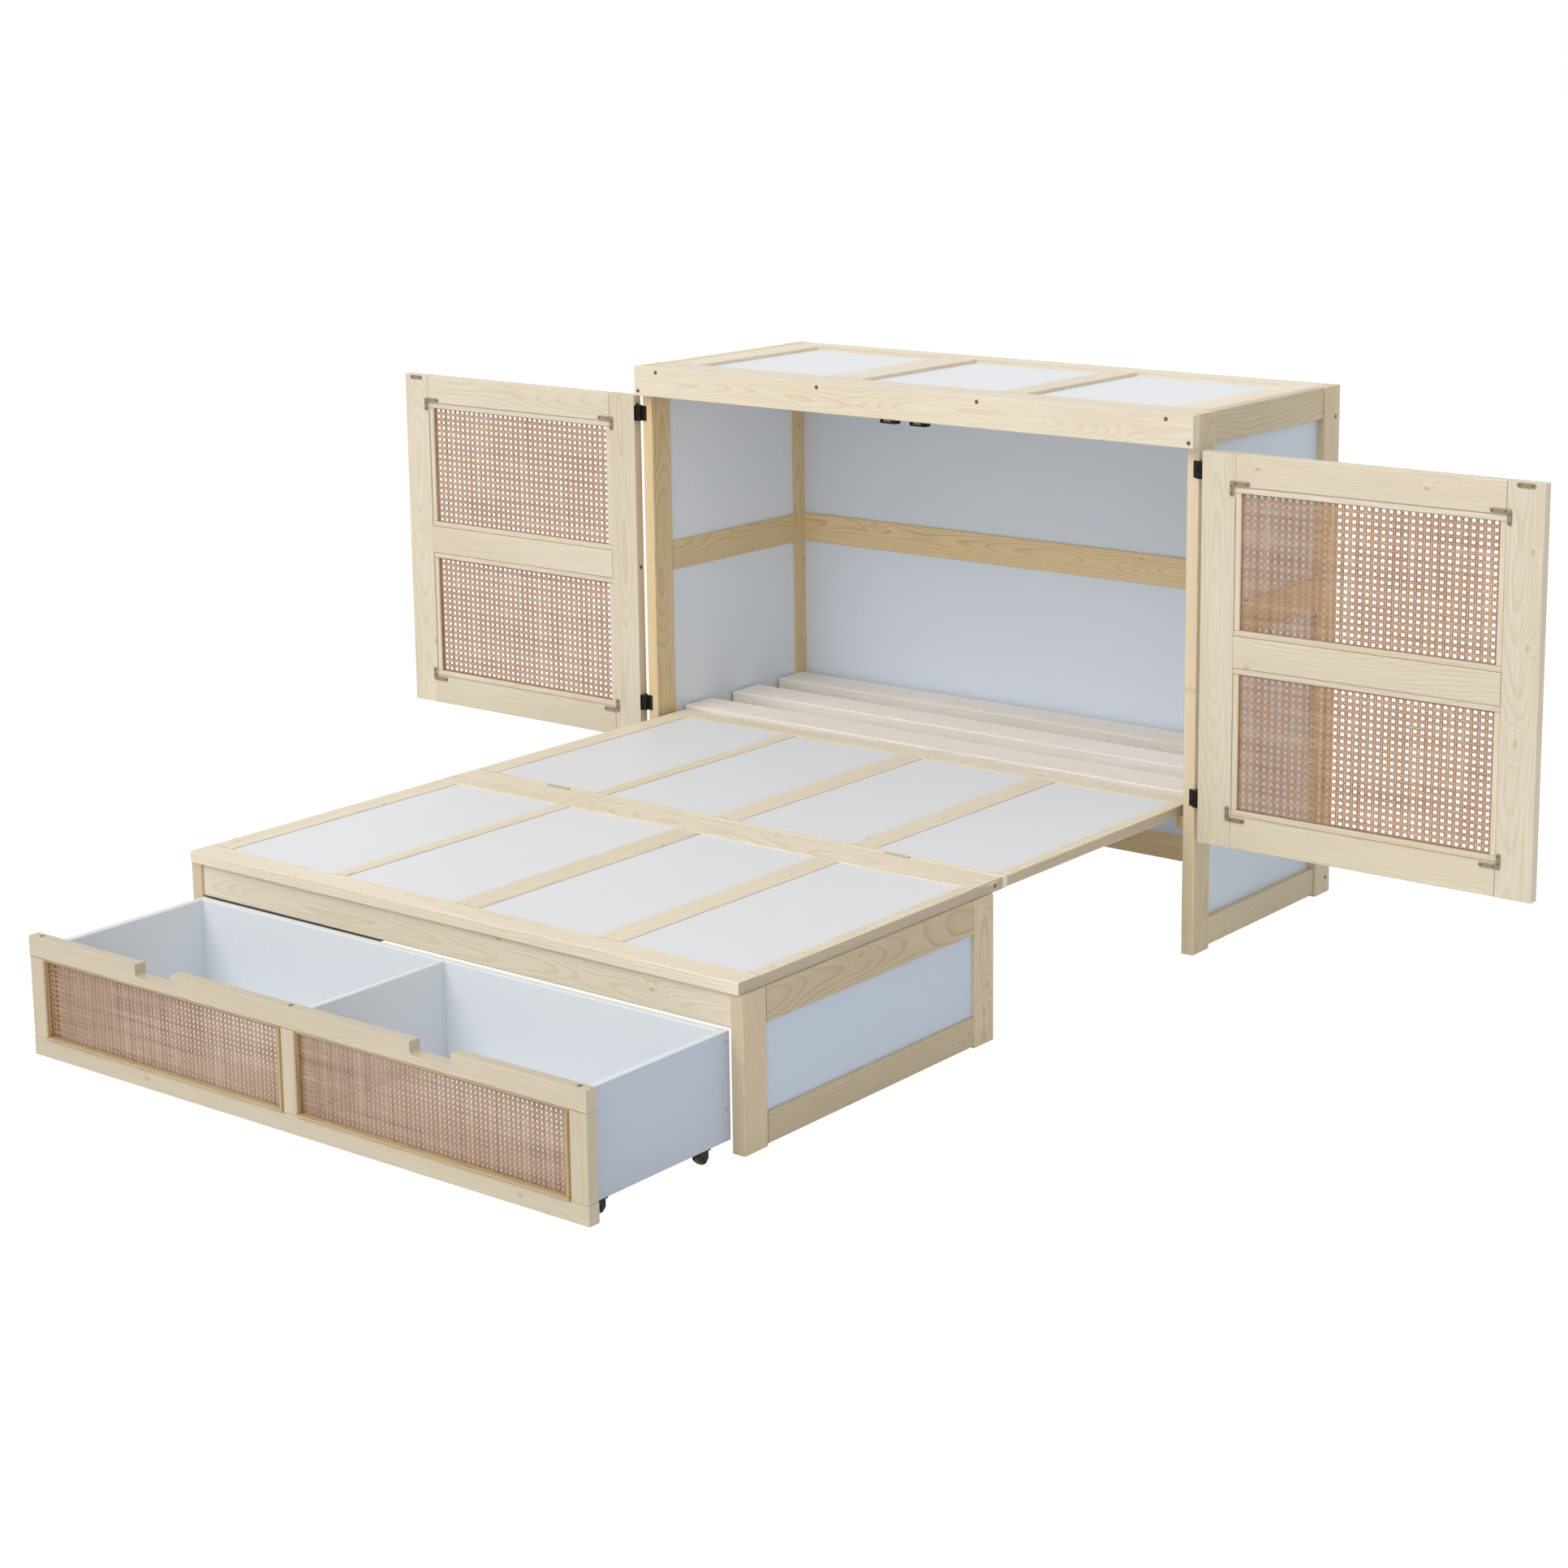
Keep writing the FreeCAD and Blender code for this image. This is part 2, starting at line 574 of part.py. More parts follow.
def make_panel(name, first, last, y, cutters):
    """One framed half of the platform: rails, three dividers and four boards."""
    z = (PLAT_LOW_Z, PLAT_TOP_Z)
    inner_y = (y[0] + first, y[1] - last)
    inner_x = (-PLAT_HALF + PLAT_LEFT_RAIL_W, PLAT_HALF - PLAT_RIGHT_RAIL_W)
    bays, bars = frame_spans(inner_x[0], inner_x[1], PLAT_DIVIDERS)
    add(name + "_rails", drilled(bar((-PLAT_HALF, PLAT_HALF), (y[0], inner_y[0]), z, "x", EDGE), cutters))
    add(name + "_rails", drilled(bar((-PLAT_HALF, PLAT_HALF), (inner_y[1], y[1]), z, "x", EDGE), cutters))
    for x in [(-PLAT_HALF, inner_x[0])] + bars + [(inner_x[1], PLAT_HALF)]:
        add(name + "_rails", bar(x, inner_y, z, "y", EDGE))
    board_z = (PLAT_TOP_Z - PLAT_BOARD_DROP - PLAT_BOARD_T, PLAT_TOP_Z - PLAT_BOARD_DROP)
    for x in bays:
        add(name + "_boards", bar(x, inner_y, board_z))


def make_platform():
    cutters = [fold_cutter(x) for x in FOLD_HINGE_X]
    bolts, holes = bolt_places(mid_bolt_faces())
    make_panel("front_panel", PLAT_FRONT_RAIL_W, PLAT_MID_RAIL_W,
               (PLAT_FRONT_Y, FOLD_Y - FOLD_GAP / 2), cutters + holes)
    make_panel("rear_panel", PLAT_LIP_RAIL_W, PLAT_REAR_RAIL_W,
               (FOLD_Y + FOLD_GAP / 2, PLAT_REAR_Y), cutters)
    add("front_panel_bolts", *bolts)
    for x in FOLD_HINGE_X:
        front, rear = fold_hinge(x)
        add("fold_hinge_front_leaves", front)
        add("fold_hinge_rear_leaves", rear)


# ---------------------------------------------------------------- base

def make_base():
    leg_x = (LEG_IN_X, BASE_HALF)
    front_y = (BASE_FRONT_Y, BASE_FRONT_Y + LEG_W)
    rear_y = (BASE_REAR_Y - LEG_W, BASE_REAR_Y)
    add("base_front_legs", *pair(bar(leg_x, front_y, (0, BASE_TOP_Z), "z", ROUND)))
    add("base_rear_legs", *pair(bar(leg_x, rear_y, (0, BASE_TOP_Z), "z", EDGE)))
    side_y = (front_y[1], rear_y[0])
    rail_x = (BASE_HALF - BASE_RAIL_T, BASE_HALF)
    low_z = (BASE_LOW_RAIL_Z, BASE_LOW_RAIL_Z + BASE_LOW_RAIL_H)
    top_z = (BASE_TOP_Z - BASE_TOP_RAIL_H, BASE_TOP_Z)
    for z in (low_z, top_z):
        add("base_side_rails", *pair(bar(rail_x, side_y, z, "y", EDGE)))
    panel_x = (BASE_HALF - BASE_PANEL_IN - BASE_PANEL_T, BASE_HALF - BASE_PANEL_IN)
    add("base_side_panels", *pair(bar(panel_x, side_y, (low_z[1], top_z[0]))))
    apron_y = (BASE_FRONT_Y + APRON_IN, BASE_FRONT_Y + APRON_IN + APRON_T)
    add("base_apron", bar((-LEG_IN_X, LEG_IN_X), apron_y, (BASE_TOP_Z - APRON_H, BASE_TOP_Z), "x", EDGE))
    back_y = (BASE_REAR_Y - APRON_IN - APRON_T, BASE_REAR_Y - APRON_IN)
    for z in (low_z, top_z):
        add("base_rear_rails", bar((-LEG_IN_X, LEG_IN_X), back_y, z, "x", EDGE))


# ---------------------------------------------------------------- drawer

def notch(x):
    """A finger notch in the top edge of the drawer front, its lower corners rounded."""
    cut = bar((x - NOTCH_W / 2, x + NOTCH_W / 2),
              (DRAWER_FRONT_Y - 1, DRAWER_BACK_Y + 1),
              (DRAWER_TOP_Z - NOTCH_DEPTH, DRAWER_TOP_Z + NOTCH_DEPTH), "y", NOTCH_ROUND)
    return cut


def make_drawer_front():
    y = (DRAWER_FRONT_Y, DRAWER_BACK_Y)
    low = (DRAWER_FRONT_Z, DRAWER_FRONT_Z + DRAWER_LOW_RAIL_H)
    top = (DRAWER_TOP_Z - DRAWER_TOP_RAIL_H, DRAWER_TOP_Z)
    bay_z = (low[1], top[0])
    down = AXES["z"] * -1
    y_mid = (y[0] + y[1]) / 2
    bolts, holes = bolt_places([((x, y_mid, DRAWER_TOP_Z), down)
                                for x in (-DRAWER_HALF + DRAWER_BOLT_IN, 0.0, DRAWER_HALF - DRAWER_BOLT_IN)])
    top_rail = bar((-DRAWER_HALF, DRAWER_HALF), y, top, "x", EDGE)
    top_rail = top_rail.cut([notch(-NOTCH_X), notch(NOTCH_X)])
    add("drawer_front_frame", drilled(top_rail, holes))
    add("drawer_front_frame", bar((-DRAWER_HALF, DRAWER_HALF), y, low, "x", EDGE))
    end_x = DRAWER_HALF - DRAWER_END_STILE_W
    mid_x = DRAWER_MID_STILE_W / 2
    for x in ((-DRAWER_HALF, -end_x), (-mid_x, mid_x), (end_x, DRAWER_HALF)):
        add("drawer_front_frame", bar(x, y, bay_z, "z", EDGE))
    bead_y = (DRAWER_FRONT_Y - DRAWER_BEAD_PROUD, DRAWER_FRONT_Y - DRAWER_BEAD_PROUD + DRAWER_BEAD_T)
    cane_y = (bead_y[1], bead_y[1] + CANE_T)
    for x in ((-end_x, -mid_x), (mid_x, end_x)):
        add("drawer_front_cane", bar(x, cane_y, bay_z))
        add("drawer_front_beads", *bead_ring(x, bead_y, bay_z, DRAWER_BEAD_W))
    add("drawer_bolts", *bolts)


def make_drawer_box():
    y = (DRAWER_BACK_Y, BOX_REAR_Y)
    z = (BOX_LOW_Z, BOX_TOP_Z)
    inner = BOX_HALF - BOX_SIDE_T
    back_y = (BOX_REAR_Y - BOX_BACK_T, BOX_REAR_Y)
    floor_z = (BOX_FLOOR_Z, BOX_FLOOR_Z + BOX_FLOOR_T)
    add("drawer_sides", *pair(bar((inner, BOX_HALF), y, z, "y", EDGE)))
    add("drawer_back", bar((-inner, inner), back_y, (floor_z[0], z[1]), "x", EDGE))
    add("drawer_bottom", bar((-inner, inner), (y[0], back_y[0]), floor_z))
    add("drawer_divider", bar((-BOX_DIVIDER_T / 2, BOX_DIVIDER_T / 2), (y[0], back_y[0]), (floor_z[1], z[1]),
                              "y", EDGE))


def caster_places():
    """The four casters: name and the centre of each wheel across and along."""
    x = BOX_HALF - CASTER_IN - FORK_T - FORK_GAP - WHEEL_W / 2
    front = DRAWER_BACK_Y + CASTER_FRONT_IN
    rear = BOX_REAR_Y - CASTER_REAR_IN
    return [("front_left", -x, front), ("front_right", x, front),
            ("rear_left", -x, rear), ("rear_right", x, rear)]


def caster_fork(x, y):
    """A fixed fork under the drawer's side: a plate, two cheeks with clipped corners and the axle."""
    half = WHEEL_W / 2 + FORK_GAP
    z = (FORK_OVER_FLOOR, BOX_LOW_Z - FORK_PLATE_T)
    cheeks = []
    for side in (-1, 1):
        cheek_x = sorted((x + side * half, x + side * (half + FORK_T)))
        cheek = bar(cheek_x, (y - FORK_W / 2, y + FORK_W / 2), z)
        low = [e for e in cheek.Edges if abs(e.tangentAt(0).dot(AXES["x"])) > 0.99
               and e.CenterOfMass.z < WHEEL_R]
        cheeks.append(cheek.makeChamfer(FORK_W / 3, low))
    plate = bar((x - half - FORK_T, x + half + FORK_T), (y - FORK_LEN / 2, y + FORK_LEN / 2),
                (BOX_LOW_Z - FORK_PLATE_T, BOX_LOW_Z))
    axle = rod((x - half, y, WHEEL_R), AXES["x"], AXLE_R, 2 * half)
    return plate.fuse(cheeks + [axle]).removeSplitter()


def caster_wheel(x, y):
    """A tread with a bore, revolved about the axle."""
    half = WHEEL_W / 2
    bore = AXLE_R + RUN_FIT
    points = [(-half, bore), (-half, WHEEL_R), (half, WHEEL_R), (half, bore), (-half, bore)]
    wire = Part.makePolygon([Vector(x + a, y, WHEEL_R + r) for a, r in points])
    return Part.Face(wire).revolve(Vector(x, y, WHEEL_R), AXES["x"], 360)


def make_casters():
    for name, x, y in caster_places():
        add("caster_forks", caster_fork(x, y))
        add("wheel_" + name, caster_wheel(x, y))


def export_all():
    os.makedirs("parts", exist_ok=True)
    shift = Vector(0, -ORIGIN_Y, 0)
    for node, solids in sorted(NODES.items()):
        shape = solids[0] if len(solids) == 1 else Part.makeCompound(solids)
        shape = shape.translated(shift)
        if not shape.isValid():
            print("not valid:", node)
        shape.exportStep("parts/" + node + ".step")
    print("nodes", len(NODES), "solids", sum(len(s) for s in NODES.values()))
    print("origin lies", round(ORIGIN_Y, 3), "mm from the fascia's front face along Y")


make_cabinet()
make_door("left_door", -1)
make_door("right_door", 1)
make_platform()
make_base()
make_drawer_front()
make_drawer_box()
make_casters()
export_all()
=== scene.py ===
import json
import math
import random

import bmesh
import bpy
from mathutils import Matrix, Vector

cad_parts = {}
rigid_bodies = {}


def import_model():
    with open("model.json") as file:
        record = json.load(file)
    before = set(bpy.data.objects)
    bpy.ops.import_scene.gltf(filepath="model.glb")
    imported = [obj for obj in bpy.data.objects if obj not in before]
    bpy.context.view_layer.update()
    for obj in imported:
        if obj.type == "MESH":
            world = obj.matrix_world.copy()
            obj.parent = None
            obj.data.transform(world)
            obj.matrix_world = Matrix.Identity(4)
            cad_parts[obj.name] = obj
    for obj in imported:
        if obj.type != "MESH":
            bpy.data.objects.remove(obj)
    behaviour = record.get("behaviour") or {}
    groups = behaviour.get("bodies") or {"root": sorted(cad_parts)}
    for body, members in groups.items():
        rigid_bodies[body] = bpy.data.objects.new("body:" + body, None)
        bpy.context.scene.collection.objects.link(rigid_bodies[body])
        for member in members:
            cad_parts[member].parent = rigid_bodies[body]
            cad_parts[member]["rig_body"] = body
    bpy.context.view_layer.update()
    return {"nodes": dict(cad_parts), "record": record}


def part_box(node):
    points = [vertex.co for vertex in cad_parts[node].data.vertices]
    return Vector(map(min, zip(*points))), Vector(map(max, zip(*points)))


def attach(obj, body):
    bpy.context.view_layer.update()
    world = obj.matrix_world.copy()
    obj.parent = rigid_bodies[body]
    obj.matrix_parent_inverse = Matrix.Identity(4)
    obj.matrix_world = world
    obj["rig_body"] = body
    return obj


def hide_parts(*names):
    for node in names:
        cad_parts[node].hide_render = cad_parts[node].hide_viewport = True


# Cabinet bed in clear-lacquered pine with cane doors. Metres. The origin is on the floor, under
# the middle of the open bed: +X to the right, +Y towards the cabinet's back, +Z up.

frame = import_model()
nodes = frame["nodes"]
finish_of = {part["node"]: part["material_slot"] for part in frame["record"]["subparts"]}
body_of = {node: obj["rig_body"] for node, obj in nodes.items()}

# What the vertices carry: a point's place in its plank, its plank's tone, which also holds painted shade
# (on cane, how high it lies on its strand, which sets the painted shade at the strand's edges), and whether
# it is on an arris that meets another piece, where painted shade darkens the joint.
GRAIN = "grain"
PLANK = "plank"
SEAM = "seam_shade"


# ------------------------------------------------------------------ materials

def new_material(name):
    """An empty node material with its Principled shader."""
    mat = bpy.data.materials.new(name)
    mat.use_nodes = True
    tree = mat.node_tree
    shader = tree.nodes["Principled BSDF"]
    return mat, tree, shader


def link(tree, source, target):
    tree.links.new(source, target)


def attribute(tree, name):
    """The node that reads a vertex attribute."""
    made = tree.nodes.new("ShaderNodeAttribute")
    made.attribute_name = name
    return made


def split(tree, kind, source):
    """The three parts of a vector or a colour."""
    made = tree.nodes.new(kind)
    link(tree, source, made.inputs[0])
    return made.outputs


def maths(tree, operation, a, b=None):
    """A Math node; a and b are sockets or numbers."""
    made = tree.nodes.new("ShaderNodeMath")
    made.operation = operation
    for socket, value in zip(made.inputs, (a, b)):
        if value is None:
            continue
        if isinstance(value, (int, float)):
            socket.default_value = value
        else:
            link(tree, value, socket)
    return made.outputs[0]


def ramp(tree, factor, stops, smooth=True):
    """A colour ramp over (place, colour) stops."""
    made = tree.nodes.new("ShaderNodeValToRGB")
    made.color_ramp.interpolation = "EASE" if smooth else "LINEAR"
    marks = made.color_ramp.elements
    while len(marks) < len(stops):
        marks.new(0.5)
    for mark, (place, colour) in zip(marks, stops):
        mark.position = place
        mark.color = (*colour, 1)
    link(tree, factor, made.inputs[0])
    return made.outputs[0]


# A Mix node's factor, its two colours and the colour it gives. They go by number, since its
# sockets for other kinds of value have the same names.
MIX_FACTOR = 0
MIX_A = 6
MIX_B = 7
MIX_RESULT = 2


def mixed(tree, factor, a, b, blend="MIX"):
    """Mix two colours; each may be a socket or a colour."""
    made = tree.nodes.new("ShaderNodeMix")
    made.data_type = "RGBA"
    made.blend_type = blend
    for number, value in ((MIX_FACTOR, factor), (MIX_A, a), (MIX_B, b)):
        socket = made.inputs[number]
        if isinstance(value, (int, float)):
            socket.default_value = value
        elif isinstance(value, tuple):
            socket.default_value = (*value, 1)
        else:
            link(tree, value, socket)
    return made.outputs[MIX_RESULT]


def scaled(tree, source, scale):
    """Coordinates drawn out or pressed together along each axis."""
    made = tree.nodes.new("ShaderNodeMapping")
    made.inputs["Scale"].default_value = scale
    link(tree, source, made.inputs["Vector"])
    return made.outputs[0]


def noise(tree, vector, scale, detail=2.0, rough=0.5):
    made = tree.nodes.new("ShaderNodeTexNoise")
    made.inputs["Scale"].default_value = scale
    made.inputs["Detail"].default_value = detail
    made.inputs["Roughness"].default_value = rough
    link(tree, vector, made.inputs["Vector"])
    return made


def texture_surface(tree, shader, height, strength, distance):
    """Let a pattern roughen the surface."""
    bump = tree.nodes.new("ShaderNodeBump")
    bump.inputs["Strength"].default_value = strength
    bump.inputs["Distance"].default_value = distance
    link(tree, height, bump.inputs["Height"])
    link(tree, bump.outputs[0], shader.inputs["Normal"])


BLACK = (0, 0, 0)
WHITE = (1, 1, 1)
RINGS_PER_METRE = 240.0
RING_SHIFT = 0.06
RING_SWAY = 0.09
RING_SHADE = 0.95
KNOT_CELLS = (5.5, 12.0, 1.0)
KNOT_TIGHTNESS = 3.6
KNOT_SWIRL = 0.017
KNOT_SHADE = 0.42
# Painted shade along arrises that meet another piece: how strongly it darkens the joint, and how dark.
SEAM_PAINTED_SHADE = 0.8
SEAM_SHADE_COLOUR = 0.45


def near_knot(tree, grain, knots):
    """How near a point is to a knot, from 0 to 1; knots is the share of cells that hold one."""
    cells = tree.nodes.new("ShaderNodeTexVoronoi")
    cells.voronoi_dimensions = "2D"
    cells.inputs["Scale"].default_value = 1.0
    cells.inputs["Randomness"].default_value = 0.5
    link(tree, scaled(tree, grain, KNOT_CELLS), cells.inputs["Vector"])
    lot = split(tree, "ShaderNodeSeparateColor", cells.outputs["Color"])[0]
    chosen = maths(tree, "GREATER_THAN", lot, 1.0 - knots)
    reach = maths(tree, "MINIMUM", 1.0, maths(tree, "MULTIPLY", cells.outputs["Distance"], KNOT_TIGHTNESS))
    return maths(tree, "MULTIPLY", chosen, maths(tree, "SUBTRACT", 1.0, reach))


def growth_rings(tree, grain, near):
    """The dark line of each growth ring. The pith drifts along the plank, and rings bend round knots."""
    drift = split(tree, "ShaderNodeSeparateColor",
                  noise(tree, scaled(tree, grain, (1.6, 4.0, 4.0)), 1.0).outputs["Color"])
    shift = maths(tree, "MULTIPLY", maths(tree, "SUBTRACT", drift[0], 0.5), RING_SHIFT)
    sway = maths(tree, "MULTIPLY", maths(tree, "SUBTRACT", drift[1], 0.5), RING_SWAY)
    place = split(tree, "ShaderNodeSeparateXYZ", grain)
    away = tree.nodes.new("ShaderNodeCombineXYZ")
    link(tree, maths(tree, "ADD", place[1], shift), away.inputs[1])
    link(tree, maths(tree, "ADD", place[2], sway), away.inputs[2])
    length = tree.nodes.new("ShaderNodeVectorMath")
    length.operation = "LENGTH"
    link(tree, away.outputs[0], length.inputs[0])
    swirl = maths(tree, "MULTIPLY", maths(tree, "POWER", near, 1.5), KNOT_SWIRL)
    radius = maths(tree, "ADD", length.outputs["Value"], swirl)
    rings = maths(tree, "FRACT", maths(tree, "MULTIPLY", radius, RINGS_PER_METRE))
    return ramp(tree, rings, ((0.0, BLACK), (0.5, (0.1, 0.1, 0.1)), (0.88, WHITE),
                              (1.0, (0.05, 0.05, 0.05))))


def wood(name, early, late, knot, roughness, ring_depth=1.0, knots=0.0):
    """Sawn softwood: growth rings about a pith beside each plank, fibres along it, and a few knots.
    It reads each plank's own coordinates: x along the grain, y across, z through."""
    mat, tree, shader = new_material(name)
    grain = attribute(tree, GRAIN).outputs["Vector"]
    near = near_knot(tree, grain, knots)
    line = growth_rings(tree, grain, near)
    depth = maths(tree, "MULTIPLY", noise(tree, scaled(tree, grain, (0.7, 30.0, 30.0)), 1.0, 1.0).outputs[0],
                  RING_SHADE * ring_depth)
    colour = mixed(tree, maths(tree, "MULTIPLY", line, depth), early, late)

    fibre = noise(tree, scaled(tree, grain, (9.0, 420.0, 420.0)), 1.0, 3.0, 0.6).outputs[0]
    cloud = noise(tree, scaled(tree, grain, (1.1, 9.0, 9.0)), 1.0, 1.0).outputs[0]
    tone_and_shade = attribute(tree, PLANK).outputs["Fac"]
    streak = ramp(tree, fibre, ((0.3, (0.93, 0.92, 0.90)), (0.7, (1.03, 1.03, 1.04))))
    broad = ramp(tree, cloud, ((0.3, (0.96, 0.95, 0.92)), (0.7, (1.02, 1.02, 1.03))))
    # painted shade: the plank's tone, lowered on pieces and faces that lie in shade
    plank_shade = ramp(tree, tone_and_shade, ((0.0, (0.62, 0.60, 0.56)), (1.0, (1.05, 1.05, 1.05))), smooth=False)
    for layer in (streak, broad, plank_shade):
        colour = mixed(tree, 1.0, colour, layer, "MULTIPLY")
    core = ramp(tree, near, ((0.76, BLACK), (0.95, WHITE)))
    colour = mixed(tree, maths(tree, "MULTIPLY", core, KNOT_SHADE), colour, knot)
    # painted shade in the joints between pieces
    seam_shade = maths(tree, "MULTIPLY", attribute(tree, SEAM).outputs["Fac"], SEAM_PAINTED_SHADE)
    colour = mixed(tree, seam_shade, colour, tuple(c * SEAM_SHADE_COLOUR for c in late))
    link(tree, colour, shader.inputs["Base Color"])
    texture_surface(tree, shader, fibre, 0.06, 0.001)
    shader.inputs["Roughness"].default_value = roughness
    return mat


MOTTLE = 0.975


def board(name, colour, roughness, inside=None, inside_to=0.0):
    """A smooth faced board with the faintest mottle. With an inside colour, what lies nearer than
    inside_to to the bed's middle plane wears that colour instead: a lighter colour, painted light against the
    shade inside the cabinet and the drawer."""
    mat, tree, shader = new_material(name)
    place = tree.nodes.new("ShaderNodeTexCoord").outputs["Object"]
    mottle = noise(tree, place, 7.0, 3.0).outputs[0]
    if inside:
        across = split(tree, "ShaderNodeSeparateXYZ", place)[0]
        outer = maths(tree, "GREATER_THAN", maths(tree, "ABSOLUTE", across), inside_to)
        face = mixed(tree, outer, inside, colour)
        dark = mixed(tree, 1.0, face, (MOTTLE, MOTTLE, MOTTLE), "MULTIPLY")
    else:
        face = colour
        dark = tuple(c * MOTTLE for c in colour)
    link(tree, mixed(tree, mottle, dark, face), shader.inputs["Base Color"])
    orange_peel = noise(tree, place, 900.0, 1.0).outputs[0]
    texture_surface(tree, shader, orange_peel, 0.03, 0.0005)
    shader.inputs["Roughness"].default_value = roughness
    return mat


def metal(name, colour, worn, roughness, metallic, specular=0.5):
    """Metal with a little wear in its colour and gloss."""
    mat, tree, shader = new_material(name)
    place = tree.nodes.new("ShaderNodeTexCoord").outputs["Object"]
    patches = noise(tree, place, 240.0, 4.0, 0.6).outputs[0]
    link(tree, mixed(tree, patches, colour, worn), shader.inputs["Base Color"])
    gloss = ramp(tree, patches, ((0.3, (roughness - 0.08,) * 3), (0.7, (roughness + 0.1,) * 3)))
    link(tree, gloss, shader.inputs["Roughness"])
    shader.inputs["Metallic"].default_value = metallic
    shader.inputs["Specular IOR Level"].default_value = specular
    return mat


def cane_material():
    """Peeled cane: pale on each strand's crown and dark at its edges, the dark edges being painted shade of
    the weave, with runs of strands that took more or less colour."""
    mat, tree, shader = new_material("natural_cane")
    place = tree.nodes.new("ShaderNodeTexCoord").outputs["Object"]
    upright = noise(tree, scaled(tree, place, (75.0, 75.0, 3.0)), 1.0).outputs[0]
    level = noise(tree, scaled(tree, place, (3.0, 3.0, 75.0)), 1.0).outputs[0]
    run = maths(tree, "MULTIPLY", maths(tree, "ADD", upright, level), 0.5)
    colour = ramp(tree, run, ((0.34, (0.40, 0.20, 0.09)), (0.5, (0.53, 0.305, 0.165)),
                              (0.66, (0.66, 0.43, 0.265))))
    crown = attribute(tree, PLANK).outputs["Fac"]
    # painted shade: each strand darkens towards its edges, where the weave would shade it
    edge = ramp(tree, crown, ((0.0, (0.10, 0.055, 0.035)), (1.0, WHITE)), smooth=False)
    link(tree, mixed(tree, 1.0, colour, edge, "MULTIPLY"), shader.inputs["Base Color"])
    shader.inputs["Roughness"].default_value = 0.5
    return mat


# Side panels change colour in the middle of their thickness, the drawer's sides just under their
# outer face: their inner faces are painted lighter against the shade inside.
SIDE_PANEL_MIDDLE = sum(corner.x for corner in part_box("side_panels_right")) / 2
DRAWER_SKIN = 0.0005
DRAWER_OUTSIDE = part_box("drawer_sides")[1].x - DRAWER_SKIN

MATERIALS = {
    "pine": wood("pale_pine", (0.83, 0.745, 0.59), (0.66, 0.51, 0.335), (0.38, 0.22, 0.11),
                 roughness=0.42, ring_depth=0.72, knots=0.16),
    # golden and straw pine: warmer copies of the pine that carry painted warm shade
    "golden_shade_pine": wood("golden_pine", (0.76, 0.60, 0.345), (0.56, 0.385, 0.18), (0.33, 0.18, 0.07),
                       roughness=0.42, ring_depth=1.2, knots=0.5),
    "straw_pine": wood("straw_pine", (0.78, 0.665, 0.47), (0.58, 0.43, 0.245), (0.36, 0.21, 0.10),
                       roughness=0.42, ring_depth=1.0, knots=0.3),
    "slat_pine": wood("planed_pine", (0.88, 0.84, 0.785), (0.74, 0.66, 0.55), (0.40, 0.26, 0.16),
                      roughness=0.62, ring_depth=0.6),
    "white_board": board("white_board", (0.80, 0.815, 0.84), 0.45),
    # the side panels: lighter inside, painted light against the cabinet's inner shade
    "side_board_lit_inside": board("blue_board_lit_inside", (0.655, 0.73, 0.83), 0.5,
                        inside=(0.83, 0.88, 0.94), inside_to=SIDE_PANEL_MIDDLE),
    # the back: a lighter copy of the blue board, painted light against the cabinet's inner shade
    "back_board_lit": board("grey_board_lit", (0.705, 0.765, 0.85), 0.5),
    # the base's side panels: a darker copy of the blue board, painted shade
    "base_board_shaded": board("base_board_shaded", (0.57, 0.655, 0.765), 0.5),
    # the drawer: darker outside (painted shade) and lighter inside (painted light)
    "drawer_board_lit_and_shaded": board("blue_drawer_board_lit_and_shaded", (0.54, 0.605, 0.71), 0.5,
                          inside=(0.79, 0.825, 0.865), inside_to=DRAWER_OUTSIDE),
    "cane": cane_material(),
    "black_metal": metal("black_metal", (0.010, 0.009, 0.008), (0.022, 0.019, 0.016), 0.45, 0.0, 0.2),
    "aged_brass": metal("aged_brass", (0.40, 0.33, 0.225), (0.29, 0.23, 0.15), 0.40, 0.8),
    # darker brass for screw and bolt heads; on the bolt heads sunk in their holes the darkness is partly
    # painted shade of the holes
    "dark_brass": metal("dark_brass", (0.22, 0.165, 0.095), (0.12, 0.085, 0.05), 0.38, 0.6),
    "caster_wheel": metal("brown_wheel", (0.16, 0.085, 0.045), (0.10, 0.05, 0.03), 0.5, 0.0),
    "hinge_steel": metal("plated_steel", (0.60, 0.56, 0.48), (0.45, 0.42, 0.36), 0.35, 0.95),
}


# ------------------------------------------------------------------ meshes

def new_piece(name, bm, slot, body, replaced=(), material=None):
    """Put a finished bmesh into the scene as a piece that rides on a body."""
    mesh = bpy.data.meshes.new(name)
    bm.to_mesh(mesh)
    bm.free()
    mesh.materials.append(MATERIALS[material or slot])
    obj = bpy.data.objects.new(name, mesh)
    bpy.context.scene.collection.objects.link(obj)
    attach(obj, body)
    if replaced:
        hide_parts(*replaced)
    return obj


def even_shading(obj):
    """Smooth shading that keeps the large faces flat."""
    for face in obj.data.polygons:
        face.use_smooth = True
    weights = obj.modifiers.new("even_shading", "WEIGHTED_NORMAL")
    weights.keep_sharp = True


def append_mesh(whole, part):
    """Move all of one bmesh into another."""
    mesh = bpy.data.meshes.new("part")
    part.to_mesh(mesh)
    part.free()
    whole.from_mesh(mesh)
    bpy.data.meshes.remove(mesh)


MERGE = 1e-6
FLAT_ANGLE = 0.01
SHARP_ANGLE = 0.6


